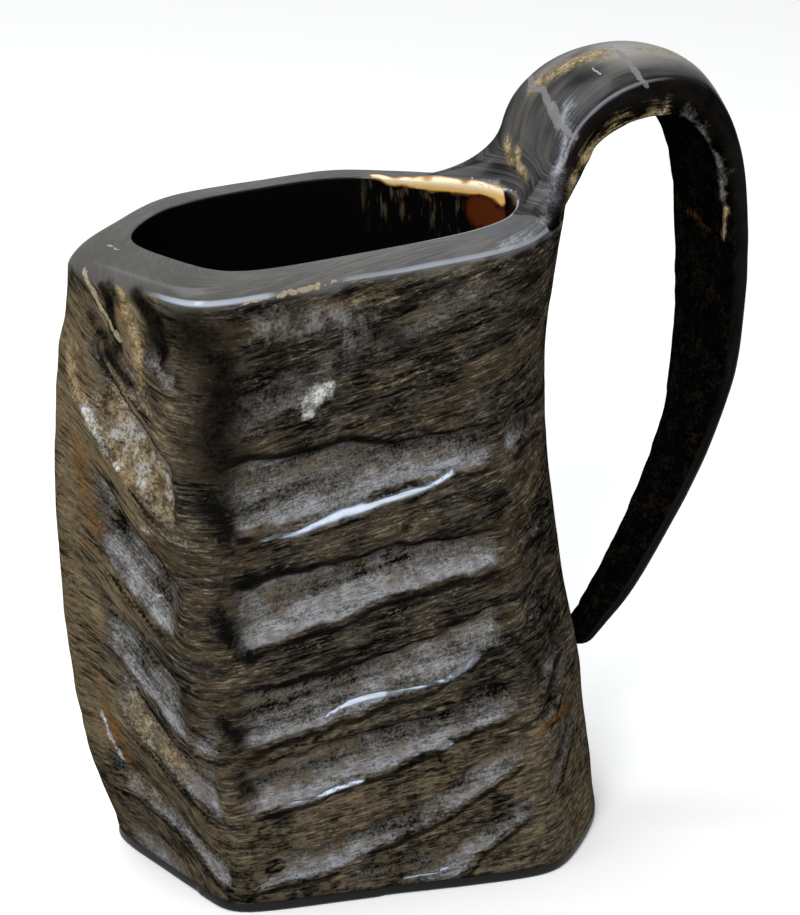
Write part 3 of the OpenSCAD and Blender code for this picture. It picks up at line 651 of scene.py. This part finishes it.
def handle_grain(cells, rings_, distance, grid_grain):
    """Grain coordinates of the handle: they run along the path, and grow out of the rim's over the
    blend. Also masks of the inner face, the polished one and a painted highlight on its front edge."""
    out = strip_section(0.3)[1]
    crown = smooth(0.46, 0.70, out / out[len(out) // 4]) + 0 * distance[:, None]
    share = np.arange(1, len(rings_) + 1)[:, None] / BLEND_RINGS
    start = grid_grain[cells[:, 0], cells[:, 1] % COLUMNS]
    strip = np.stack([distance[:, None] * GRAIN_SQUEEZE + 0 * out, 0 * rings_[..., 0] + out * 0.6,
                      rings_[..., 1] + 60], axis=-1)
    inner = smooth(1.5, -2.5, out) + 0 * distance[:, None]
    place = np.arange(len(out)) - (1.5 * CORNER_STEPS + 1)
    # Painted highlight along the strip's front edge: full from about 24 to 36 mm along, weaker beyond, gone
    # by 84 mm
    shown = smooth(10, 24, distance) * mix(0.3, 1, smooth(50, 36, distance)) * smooth(84, 60, distance)
    ridge_highlight = tent(place, 2) * shown[:, None]
    return mix(start, strip, smooth(0, 1, share)[..., None]), inner, crown, ridge_highlight


def roughen_handle(rings_, inner):
    """Moves each ring's points towards its middle by lumps: hand-worn waves on the polished faces and
    leftover skin on the inner one."""
    middle = rings_.mean(1, keepdims=True)
    wave = 0.22 * (1 + lumps(rings_, 13, 31)) + 0.08 * (1 + lumps(rings_, 5, 32))
    skin = inner * 0.35 * np.clip(0.3 + lumps(rings_, 2.6, 33), 0, None)
    fade = smooth(0, BLEND_RINGS, np.arange(len(rings_)))[:, None]
    return rings_ + unit(middle - rings_) * ((wave + skin) * fade)[..., None]


def add_object(name, data):
    """A new object in the scene for a mesh, a lamp or a camera."""
    thing = bpy.data.objects.new(name, data)
    bpy.context.scene.collection.objects.link(thing)
    return thing


def add_piece(name, points, quads, triangles, nodes, masks):
    """Makes a mesh piece from points in millimetres and its faces, held inside the CAD box. Each mask
    is a value or vector a vertex, kept as a named attribute that the material reads."""
    low, high = (np.array(corner) / MM for corner in cad_box)
    points = np.clip(points, low, high) * MM
    mesh = bpy.data.meshes.new(name)
    mesh.from_pydata(points.tolist(), [], quads.tolist() + triangles.tolist())
    mesh.polygons.foreach_set("use_smooth", np.ones(len(mesh.polygons), bool))
    for mask, values in masks.items():
        kind, field = ("FLOAT", "value") if values.ndim == 1 else ("FLOAT_VECTOR", "vector")
        attribute = mesh.attributes.new(mask, kind, "POINT")
        attribute.data.foreach_set(field, np.ascontiguousarray(values, dtype=np.float32).ravel())
    mesh.update()
    piece = add_object(name, mesh)
    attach(piece, "root")
    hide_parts(*nodes)
    return piece


def make_horn():
    """The cup and its handle as one closed surface: the grid without its root block, the handle's
    rings grown from the block's edge, and a fan at the tip."""
    grid, masks, grain = cup_grid()
    cells, rings_, distance, tip = handle_rings(grid)
    rows = len(grid)
    strip_grain, inner, crown, ridge_highlight = handle_grain(cells, rings_, distance, grain)
    rings_ = roughen_handle(rings_, inner)
    r, j = np.meshgrid(np.arange(rows), np.arange(COLUMNS), indexing="ij")
    signed = np.where(j < COLUMNS / 2, j, j - COLUMNS)
    block = ((r >= OUTER_ROWS - 1) & (r < INSIDE_ROW)
             & (signed >= -ROOT_COLUMNS) & (signed < ROOT_COLUMNS))
    r, j = r[~block], j[~block]
    up, right = (r + 1) % rows, (j + 1) % COLUMNS
    cup_quads = np.stack([r * COLUMNS + j, r * COLUMNS + right, up * COLUMNS + right, up * COLUMNS + j], -1)

    count = len(cells)
    loop_index = cells[:, 0] * COLUMNS + cells[:, 1] % COLUMNS
    ring_index = rows * COLUMNS + np.arange(len(rings_) * count).reshape(-1, count)
    index = np.vstack([loop_index, ring_index])
    turned = np.roll(index, -1, axis=1)
    handle_quads = np.stack([index[:-1], index[1:], turned[1:], turned[:-1]], -1).reshape(-1, 4)
    tip_index = ring_index[-1, -1] + 1
    fan = np.stack([turned[-1], index[-1], np.full(count, tip_index)], -1)

    points = np.concatenate([grid.reshape(-1, 3), rings_.reshape(-1, 3), tip[None]])
    cup_count = rows * COLUMNS
    spare = len(points) - cup_count
    all_masks = {name: np.concatenate([mask.ravel(), np.full(spare, float(name == "polish"))])
                 for name, mask in masks.items()}
    all_masks["handle"] = np.concatenate([np.zeros(cup_count), np.ones(spare)])
    all_masks["skin"] = np.concatenate([np.zeros(cup_count), inner.ravel(), [0]])
    all_masks["crown"] = np.concatenate([masks["polish"].ravel(), crown.ravel(), [1]])
    all_masks["ridge_highlight"] = np.concatenate([np.zeros(cup_count), ridge_highlight.ravel(), [0]])
    drawn = {name: marks_at(points, name) for name in MARKS if name != "lip"}
    # Less painted shadow under the lips where a floor mark carries the valley floor lower
    all_masks["under"] *= 1 - np.minimum(1, 2 * drawn["floor"])
    drawn["floor"] = np.maximum(all_masks["floor"], drawn["floor"])
    # Lip highlights, painted in the material: the rings' own bands and the listed strokes
    drawn["lip"] = np.maximum(all_masks["lip"], marks_at(points * FACING, "lip", 0.2))
    all_masks.update(drawn)
    all_masks["grain"] = np.concatenate([grain.reshape(-1, 3), strip_grain.reshape(-1, 3),
                                         strip_grain[-1, :1]])
    root = np.zeros(len(points))
    near_root = 1 - np.arange(len(rings_)) / RELAX_RINGS
    root[cup_count:-1] = np.repeat(np.clip(near_root * 1.6, 0, 1), count)
    row = np.arange(rows)
    row_gap = np.maximum(np.maximum(OUTER_ROWS - 1 - row, 0), np.maximum(row - INSIDE_ROW, 0))
    column = np.arange(COLUMNS)
    column_gap = np.maximum(np.minimum(column, COLUMNS - column) - ROOT_COLUMNS, 0)
    gap = np.hypot(row_gap[:, None] * 0.9, column_gap[None])
    root[:cup_count] = (tent(gap, RELAX_CELLS) * (row_gap[:, None] < RELAX_ROWS)).ravel()
    quads = np.concatenate([cup_quads, handle_quads])

    # The block's own grid points belong to no face, so they are left out
    used = np.zeros(len(points), bool)
    used[quads.ravel()] = True
    used[fan.ravel()] = True
    renumber = np.cumsum(used) - 1
    all_masks = {name: mask[used] for name, mask in all_masks.items()}
    piece = add_piece("horn_body", points[used], renumber[quads], renumber[fan], ["horn"],
                      all_masks)
    group = piece.vertex_groups.new(name="root")
    for weight in (0.25, 0.5, 0.75, 1.0):
        chosen = np.nonzero(np.round(root[used] * 4) == weight * 4)[0]
        group.add(chosen.tolist(), weight, "REPLACE")
    relax = piece.modifiers.new("relax_root", "SMOOTH")
    relax.vertex_group = "root"
    relax.factor = 0.5
    relax.iterations = RELAX_ROUNDS
    return piece


def make_plate():
    """The base plate: rings from the chamfered bottom edge out, up and in over the plug, with a fan
    at each end."""
    angle = column_angles()
    foot = np.full(COLUMNS, float(PLATE_THICKNESS))
    top = PLATE_THICKNESS + PLUG_HEIGHT
    flange = [(PLATE_CHAMFER + 0.5, 0), (PLATE_CHAMFER, 0), (0.1, PLATE_CHAMFER * 0.8),
              (0, PLATE_CHAMFER * 1.3), (0, 1.6), (0.25, 2.1), (0.3, 2.4), (0.8, PLATE_THICKNESS)]
    plug = [(0, PLATE_THICKNESS), (0, top - 0.4), (0.4, top), (6, top)]
    stack = [outer_wall(angle, foot, inset)[0] for inset, _ in flange]
    stack += [inner_wall(angle, foot, PLUG_CLEARANCE + inset) for inset, _ in plug]
    rings_ = np.array([0.5 * stack[1] + 0.1] + stack)
    rings_[..., 2] = np.array([0] + [z for _, z in flange + plug])[:, None]
    n = COLUMNS
    index = np.arange(len(rings_) * n).reshape(-1, n)
    turned = np.roll(index, -1, axis=1)
    quads = np.stack([index[:-1], turned[:-1], turned[1:], index[1:]], -1).reshape(-1, 4)
    low, high = len(rings_) * n, len(rings_) * n + 1
    fan = np.concatenate([np.stack([turned[0], index[0], np.full(n, low)], -1),
                          np.stack([index[-1], turned[-1], np.full(n, high)], -1)])
    ends = np.array([rings_[0].mean(0), rings_[-1].mean(0)])
    points = np.concatenate([rings_.reshape(-1, 3), ends])
    return add_piece("base_disc", points, quads, fan, ["base_plate"], {})


def make_stage():
    """Pale floor and the camera at the photograph's angle."""
    mesh = bpy.data.meshes.new("floor")
    size = FLOOR_HALF_SIZE
    corners = [(-size, -size, 0), (size, -size, 0), (size, size, 0), (-size, size, 0)]
    mesh.from_pydata(corners, [], [(0, 1, 2, 3)])
    floor = add_object("floor", mesh)

    lens = bpy.data.cameras.new("camera")
    lens.sensor_width = SENSOR_WIDTH
    lens.lens = LENS_PIXELS / PICTURE_PIXELS * SENSOR_WIDTH
    lens.clip_end = 20
    camera = add_object("camera", lens)
    azimuth, elevation = math.radians(AZIMUTH), math.radians(ELEVATION)
    right = Vector((math.cos(azimuth), math.sin(azimuth), 0))
    back = Vector((math.sin(azimuth) * math.cos(elevation), -math.cos(azimuth) * math.cos(elevation),
                   math.sin(elevation)))
    up = back.cross(right)
    aim = Vector(AIM) * MM
    matrix = Matrix((right, up, back)).transposed().to_4x4()
    matrix.translation = aim + back
    camera.matrix_world = matrix
    bpy.context.scene.camera = camera
    return floor


def lamp(name, place, aim, size, power, colour=(1, 1, 1)):
    """A soft rectangular lamp at a place, turned to a point."""
    data = bpy.data.lights.new(name, "AREA")
    data.shape = "RECTANGLE"
    data.size, data.size_y = size
    data.energy = power
    data.color = colour
    thing = add_object(name, data)
    thing.location = place
    thing.rotation_euler = (Vector(aim) - Vector(place)).to_track_quat("-Z", "Y").to_euler()


horn = make_horn()
plate = make_plate()
floor = make_stage()


# Finishes

class Wire:
    """A shader socket that takes arithmetic: each operator adds one Math node."""

    def __init__(self, finish, socket):
        self.finish, self.socket = finish, socket

    def math(self, operation, *values):
        """Adds a Math node of that operation on these values."""
        return self.finish.node("Math", {"operation": operation}, dict(enumerate(values)))

    def __add__(self, other):
        return self.math("ADD", self, other)

    def __sub__(self, other):
        return self.math("SUBTRACT", self, other)

    def __rsub__(self, other):
        return self.math("SUBTRACT", other, self)

    def __mul__(self, other):
        return self.math("MULTIPLY", self, other)

    __radd__ = __add__
    __rmul__ = __mul__

    def step(self, low, high):
        """Smooth step from 0 at low to 1 at high."""
        return self.finish.node("MapRange", {"interpolation_type": "SMOOTHSTEP"},
                                {"Value": self, "From Min": low, "From Max": high})


class Finish:
    """A material being made: node() adds any shader node and returns one of its outputs."""

    def __init__(self, name):
        self.material = bpy.data.materials.new(name)
        self.material.use_nodes = True
        self.tree = self.material.node_tree
        self.tree.nodes.clear()
        self.place = self.node("VectorMath", {"operation": "SCALE"},
                               {0: self.node("TexCoord", out="Object"), "Scale": 1000.0})

    def node(self, kind, settings=None, sockets=None, out=0):
        """Adds a node: its settings first, then the value or link of each named socket."""
        new = self.tree.nodes.new("ShaderNode" + kind)
        for name, value in (settings or {}).items():
            setattr(new, name, value)
        for name, value in (sockets or {}).items():
            if isinstance(value, Wire):
                self.tree.links.new(value.socket, new.inputs[name])
            else:
                new.inputs[name].default_value = value
        return Wire(self, new.outputs[out]) if new.outputs else None

    def mask(self, name):
        """A number stored on the mesh."""
        return self.node("Attribute", {"attribute_name": name}, out="Fac")

    def vector(self, name):
        """A vector stored on the mesh."""
        return self.node("Attribute", {"attribute_name": name}, out="Vector")

    def stretched(self, place, scales):
        """The place with each axis scaled by its own number."""
        return self.node("VectorMath", {"operation": "MULTIPLY"}, {0: place, 1: scales})

    def coordinate(self, axis):
        """The place's x, y or z in millimetres, as axis 0, 1 or 2."""
        return self.node("SeparateXYZ", {}, {0: self.place}, out=axis)

    def noise(self, place, size, detail=3.0, rough=0.55):
        """Noise, 0 to 1, whose largest features are about size across."""
        return self.node("TexNoise", {}, {"Vector": place, "Scale": 1 / size, "Detail": detail,
                                          "Roughness": rough})

    def colour_mix(self, share, a, b):
        """Colour a turned towards colour b, each a wire or its red, green and blue."""
        a, b = (colour if isinstance(colour, Wire) else (*colour, 1) for colour in (a, b))
        return self.node("Mix", {"data_type": "RGBA"}, {0: share, 6: a, 7: b}, out=2)

    def layers(self, colour, coats):
        """A colour with coats laid over it in turn, each a share and the coat's own colour."""
        for share, coat in coats:
            colour = self.colour_mix(share, colour, coat)
        return colour

    def stroke(self, place, half_width, line):
        """1 along a broken line of places in millimetres, 0 at its half width and beyond."""
        nearest = None
        for start, stop in zip(line[:-1], line[1:]):
            way = Vector(stop) - Vector(start)
            offset = self.node("VectorMath", {"operation": "SUBTRACT"}, {0: place, 1: start})
            share = self.node("VectorMath", {"operation": "DOT_PRODUCT"},
                              {0: offset, 1: way / way.length_squared}, out="Value")
            share = self.node("Clamp", {}, {"Value": share})
            foot = self.node("VectorMath", {"operation": "SCALE"}, {0: way, "Scale": share})
            gap = self.node("VectorMath", {"operation": "DISTANCE"}, {0: offset, 1: foot}, out="Value")
            nearest = gap if nearest is None else nearest.math("MINIMUM", nearest, gap)
        return nearest.step(half_width, half_width * 0.6)

    def surface(self, sockets):
        """The closing Principled shader and output."""
        shader = self.node("BsdfPrincipled", {}, sockets)
        self.node("OutputMaterial", {}, {"Surface": shader})

    def bump(self, height):
        """Normal tilted by a height field in millimetres."""
        return self.node("Bump", {}, {"Height": height, "Distance": MM, "Strength": 1.0})


def grey(level):
    """A neutral colour."""
    return (level, level, level)


def horn_finish():
    """Buffalo horn. Raw wall: brown-black lands with tan streaks along the rings, grey gritty valleys
    with painted shade along their upper edges and under their lips, painted light on their lower
    halves, and glossy lips with painted highlights; tan crust on the left. Polished rim and handle
    with painted sheen and highlights, a black inside with an amber end painted as lit through, and
    the marks."""
    f = Finish("polished_and_raw_horn")
    x, z = f.coordinate(0), f.coordinate(2)
    grain = f.vector("grain")
    fibre = f.noise(grain, 1.0, 5, 0.7)
    speck = f.noise(f.stretched(grain, (1.5, 1.5, 1)), 0.55, 4, 0.75)
    dash = f.noise(f.stretched(grain, (3, 3, 1)), 0.5, 2, 0.6)
    broad = f.noise(grain, 4.5, 3, 0.55)
    brush = f.noise(f.stretched(grain, (0.7, 1.4, 2.4)), 0.8, 4, 0.7)
    grit = f.noise(f.place, 0.75, 4, 0.85)
    pebble = f.noise(f.place, 3.0, 4, 0.65)
    blot = f.noise(f.place, 7, 3, 0.6)
    cloud = f.noise(f.place, 15, 2)
    drips = f.noise(f.stretched(f.place, (1, 1, 0.12)), 1.3, 3)
    swings = {"fibre": fibre, "speck": speck, "dash": dash, "broad": broad, "brush": brush, "grit": grit,
              "pebble": pebble, "blot": blot, "cloud": cloud, "drips": drips}
    swings = {name: noise - 0.5 for name, noise in swings.items()}

    def uneven(**weights):
        """A sum of noises that swings around zero, each with its own weight."""
        return sum(swings[name] * weight for name, weight in weights.items())

    ragged = uneven(pebble=0.8, grit=0.6, blot=0.5)
    streaked = uneven(speck=0.9, fibre=0.8, broad=0.6)
    mottle = (grit * 0.5 + pebble * 0.5).step(0.38, 0.62)
    corner, lower, side, faded = (f.mask(name) for name in ("corner", "lower", "side", "faded"))
    foot = z.step(60, 35)

    tone = fibre * 0.6 + speck * 0.4 + uneven(cloud=0.25) + corner * 0.03 + side * 0.03
    tone = (tone + faded * foot * 0.04).step(0.41, 0.60)
    brown = (broad * 0.6 + cloud * 0.5 + corner * 0.06 + side * 0.05).step(0.53, 0.66)
    patchy = (broad * 0.6 + blot * 0.4).step(0.51, 0.41) * (1 - side)
    tan = speck * 0.6 + fibre * 0.4 + uneven(cloud=0.25) + corner * 0.015 + side * 0.035
    tan = (tan + faded * foot * 0.02 + foot * 0.012).step(0.555, 0.665)
    dust = (dash + uneven(pebble=0.45, blot=0.35)).step(0.58, 0.80)
    chinks = (dash + uneven(grit=0.3)).step(0.44, 0.33)
    rust = (uneven(pebble=0.8, grit=0.5, blot=1, speck=0.8) + side * 0.05).step(0.12, 0.36)
    gilt = (speck * 0.5 + pebble * 0.5).step(0.45, 0.60) * foot * (1 - side)
    land = f.layers((0.003, 0.0025, 0.002), [
        (tone, (0.090, 0.078, 0.060)),
        (brown * 0.4, (0.068, 0.044, 0.020)),
        (patchy * 0.55, (0.006, 0.005, 0.004)),
        (tan * 0.8, (0.31, 0.25, 0.155)),
        (side * tone * 0.6, (0.185, 0.142, 0.078)),
        (dust * 0.5, (0.24, 0.205, 0.155)),
        (chinks * 0.5, grey(0.002)),
        (rust * side * 0.6, (0.20, 0.105, 0.04)),
        (gilt * 0.5, (0.19, 0.15, 0.09)),
    ])

    # Valley floor tones; lower * 0.13 paints light on the upward-facing lower halves, whose lightest tone is
    # bluish
    shade = uneven(grit=0.85, speck=0.5, broad=0.8, blot=0.6) + lower * 0.13 - faded * 0.09 + 0.055
    gold = (pebble * 0.6 + broad * 0.5 - lower * 0.06 + foot * 0.03).step(0.53, 0.66)
    near_line = uneven(fibre=1, grit=0.12)
    crack = near_line.math("ABSOLUTE", near_line).step(0.035, 0.0) * uneven(blot=1).step(-0.05, 0.1)
    base = f.layers((0.005, 0.0045, 0.004), [
        (shade.step(-0.12, 0.10), (0.14, 0.130, 0.115)),
        (shade.step(0.05, 0.36), f.colour_mix(lower, (0.48, 0.475, 0.46), (0.50, 0.515, 0.55))),
        (gold * 0.6, (0.155, 0.105, 0.05)),
        (crack * 0.75, grey(0.008)),
        ((grit + uneven(dash=0.4)).step(0.38, 0.27) * 0.5, grey(0.003)),
    ])
    bare_land = (f.mask("land") + ragged * 0.6).step(0.2, 0.5)
    floor = f.mask("floor") * (1 - faded * (0.7 - foot * 0.4)) * (1 - bare_land)
    floor = (floor + ragged * 0.45 + streaked * 0.25).step(0.22, 0.8)

    tint = uneven(pebble=1.2, grit=0.9, blot=0.5)
    crust = f.layers((0.03, 0.022, 0.014), [
        (tint.step(-0.3, -0.05), (0.20, 0.145, 0.08)),
        (tint.step(-0.04, 0.12), (0.42, 0.34, 0.21)),
        ((tint + uneven(blot=1.4)).step(0.12, 0.4), (0.52, 0.52, 0.51)),
    ])
    # Lips: lighter worn horn, glossier, with a painted bluish-white highlight
    lip = f.mask("lip") + uneven(fibre=0.2, grit=0.1)
    gloss_and_highlight = lip.step(0.62, 0.74)
    raw = f.layers(land, [
        (floor, base),
        ((f.mask("crust") + ragged * 0.8).step(0.3, 0.75) * 0.9, crust),
        # Painted shade along the valleys' upper edges
        ((f.mask("crease_shade") + ragged * 0.5).step(0.25, 0.9) * 0.85, grey(0.003)),
        # Painted shadow just under the lips
        ((f.mask("under") + ragged * 0.5 + uneven(broad=0.6)).step(0.35, 0.75) * 0.85, grey(0.003)),
        ((lip + ragged * 0.6).step(0.4, 0.75) * 0.6, (0.32, 0.34, 0.38)),
        (gloss_and_highlight, f.colour_mix(lip.step(0.68, 0.88), (0.34, 0.42, 0.53), (0.72, 0.80, 0.92))),
    ])

    polish, handle, inside, crown = (f.mask(name) for name in ("polish", "handle", "inside", "crown"))
    # Handle: the crown painted grey as sheen from the light above, the flanks near black; the brown streaks
    # are the horn's own
    bar_tone = brush * 0.4 + uneven(broad=1.2) + cloud * 0.6
    # Painted sheen on the crown where marked
    sheen = f.mask("sheen").step(0, 0.9) * (0.5 + brush * 0.6)
    flank = f.colour_mix(bar_tone.step(0.2, 0.6), grey(0.002), (0.012, 0.0105, 0.009))
    bar = f.layers(grey(0.006), [
        (bar_tone.step(0.3, 0.75), (0.062, 0.061, 0.062)),
        ((bar_tone + uneven(speck=0.5)).step(0.58, 0.8) * 0.4, (0.12, 0.095, 0.06)),
        (sheen * 0.9, (0.40, 0.385, 0.36)),
    ])
    skin = f.colour_mix((pebble + uneven(grit=1)).step(0.45, 0.75), grey(0.001), (0.009, 0.007, 0.005))
    # Polished rim: dark horn painted mid-grey as sheen from the light above, lighter along the brushing,
    # with a painted bluish reflection towards the right and darker at the left end
    polished_with_sheen = f.layers((0.085, 0.083, 0.080), [
        ((brush + uneven(cloud=0.4)).step(0.35, 0.68), (0.145, 0.141, 0.134)),
        (x.step(-38, -62) * 0.6, (0.062, 0.059, 0.052)),
        (x.step(-20, 30) * 0.5 * blot.step(0.3, 0.6), (0.085, 0.092, 0.107)),
        (handle, f.colour_mix(crown, flank, bar)),
        (f.mask("skin"), skin),
        # Painted bluish highlights along the brushing on the handle's crown
        (brush.step(0.62, 0.78) * 0.3 * crown, (0.26, 0.27, 0.30)),
    ])

    drip = f.mask("smoke") * inside * (drips + uneven(cloud=0.3)).step(0.52, 0.72)
    # Amber: the horn's amber end inside the rim at the back right, painted light as if lit through, cream
    # towards the top
    amber = f.mask("amber") + uneven(pebble=0.3)
    glow = f.colour_mix((z + uneven(grit=1.5)).step(149.8, 151.6), (0.80, 0.50, 0.17), (0.88, 0.76, 0.52))
    colour = f.layers(raw, [
        (polish, polished_with_sheen),
        (inside, grey(0.0022)),
        (drip, (0.10, 0.075, 0.045)),
        ((f.mask("red") + uneven(drips=1)).step(0.2, 0.6) * inside, (0.085, 0.018, 0.005)),
        (amber.step(0.15, 0.4), (0.55, 0.25, 0.05)),
        (amber.step(0.28, 0.5), glow),
    ])

    wiped = uneven(brush=2) * handle + streaked * (1 - handle) * 0.9
    # Looks of the marks: pale ones are painted highlights and black ones painted shade in the dents; the
    # rest are the horn's own colours, save a painted glint among the grey and some painted sheen among the
    # tan
    looks = [
        ("dark", 0.1, 0.66, streaked * 0.7, grey(0.002), (0.014, 0.011, 0.008)),
        ("orange", 0.3, 0.9, streaked * 0.8, (0.05, 0.022, 0.006), (0.26, 0.115, 0.028)),
        ("grey", 0.2, 1, uneven(pebble=0.9, blot=0.9, grit=0.3), (0.045, 0.042, 0.037), (0.24, 0.23, 0.215)),
        ("tan", 0.3, 0.95, wiped, (0.09, 0.062, 0.03), (0.44, 0.34, 0.19)),
        ("pale", 0.25, 1.1, uneven(brush=1.4), (0.14, 0.145, 0.155), (0.46, 0.48, 0.51)),
        ("black", 0.16, 0.74, ragged * 1.2, grey(0.001), grey(0.006)),
        ("white", 0.3, 0.8, ragged * 0.7, (0.22, 0.21, 0.19), (0.80, 0.80, 0.78)),
    ]
    for name, low, high, edge, dim, bright in looks:
        share = (f.mask(name) + edge).step(low, high) * f.mask(name).step(0, 0.2)
        colour = f.colour_mix(share, colour, f.colour_mix(mottle, dim, bright))
    # Painted highlights: at the foot of the rim's sloped edge, along the rim's inner edge at the front, and
    # along the handle's front edge
    colour = f.layers(colour, [
        ((f.mask("arris_highlight") + uneven(broad=0.4)).step(0.3, 0.8) * 0.9, (0.42, 0.47, 0.55)),
        (f.mask("bright").step(0.3, 0.8) * 0.8, (0.36, 0.37, 0.38)),
        ((f.mask("ridge_highlight") + uneven(brush=1)).step(0.3, 1.1) * 0.6, (0.30, 0.32, 0.36)),
    ])

    shaky = f.node("TexNoise", {}, {"Vector": f.place, "Scale": 0.5}, out="Color")
    shaky = f.node("VectorMath", {"operation": "SUBTRACT"}, {0: shaky, 1: (0.5, 0.5, 0.5)})
    shaky = f.node("VectorMath", {"operation": "MULTIPLY_ADD"}, {0: shaky, 1: (2.2, 2.2, 2.2), 2: f.place})
    wood = f.colour_mix(grit.step(0.25, 0.75), (0.24, 0.185, 0.10), (0.48, 0.42, 0.31))
    dull = 0
    for strokes, strength, paint in ((SCUFFS, 0.8, (0.19, 0.187, 0.185)), (SCRATCHES, 0.8, grey(0.40)),
                                     (SPLINTERS, 0.85, wood)):
        for half_width, line in strokes:
            share = f.stroke(shaky, half_width, line)
            colour = f.colour_mix(share * strength, colour, paint)
            dull = share + dull if strokes is SCUFFS else dull

    bare = (1 - polish) * (1 - gloss_and_highlight)
    rough = bare * (0.62 + uneven(grit=0.2)) + polish * (0.36 + uneven(brush=0.2))
    rough = (rough + gloss_and_highlight * 0.2 + dull * 0.3) * (1 - inside) + 0.08 * inside
    height = (fibre * 0.22 + speck * 0.1 + grit * floor * 0.8 + pebble * 0.5) * bare
    height = height + brush * 0.03 * polish
    f.surface({"Base Color": colour, "Roughness": rough, "Specular IOR Level": 0.0,
               "Coat Weight": gloss_and_highlight * 0.5 + crown * 0.45 + inside * 0.2, "Coat Roughness": 0.22,
               "Normal": f.bump(height)})
    return f.material


def plate_finish():
    """Black glossy plate."""
    f = Finish("black_plate")
    cloud = f.noise(f.place, 6, 3)
    f.surface({"Base Color": f.colour_mix(cloud, grey(0.003), grey(0.010)), "Roughness": 0.35 + 0.1 * cloud,
               "Specular IOR Level": 0.2})
    return f.material


def bead_finish():
    """Amber glue bead."""
    f = Finish("amber_resin")
    cloud = f.noise(f.place, 3, 3)
    f.surface({"Base Color": f.colour_mix(cloud, (0.05, 0.02, 0.006), (0.12, 0.05, 0.015)),
               "Roughness": 0.1 + 0.15 * cloud})
    return f.material


def floor_finish():
    """Pale floor that the camera and reflections see as white, with the cup's shadow on it."""
    f = Finish("pale_floor")
    path = f.node("LightPath", out="Is Camera Ray") + f.node("LightPath", out="Is Glossy Ray")
    f.surface({"Base Color": f.colour_mix(path, grey(0.4), grey(0.9)), "Roughness": 0.8,
               "Specular IOR Level": 0.1, "Emission Color": f.colour_mix(path, grey(0), grey(0.22)),
               "Emission Strength": 1.0})
    return f.material


def dress(piece, material):
    """Gives a piece its only material."""
    piece.data.materials.clear()
    piece.data.materials.append(material)


dress(horn, horn_finish())
dress(plate, plate_finish())
dress(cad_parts["seal_bead"], bead_finish())
dress(floor, floor_finish())

world = bpy.data.worlds.new("studio")
world.use_nodes = True
world.node_tree.nodes["Background"].inputs["Color"].default_value = (1, 1, 1, 1)
world.node_tree.nodes["Background"].inputs["Strength"].default_value = 0.38
bpy.context.scene.world = world
bpy.context.scene.view_settings.view_transform = "Standard"
lamp("top", (-0.35, 0.2, 1.1), (0, 0, 0.12), (0.9, 0.7), 8, (0.95, 0.98, 1))
lamp("key", (-0.75, -0.85, 0.8), (0, 0, 0.08), (0.4, 0.4), 11)
lamp("fill", (0.9, -0.6, 0.6), (0, 0, 0.08), (0.4, 0.6), 2)
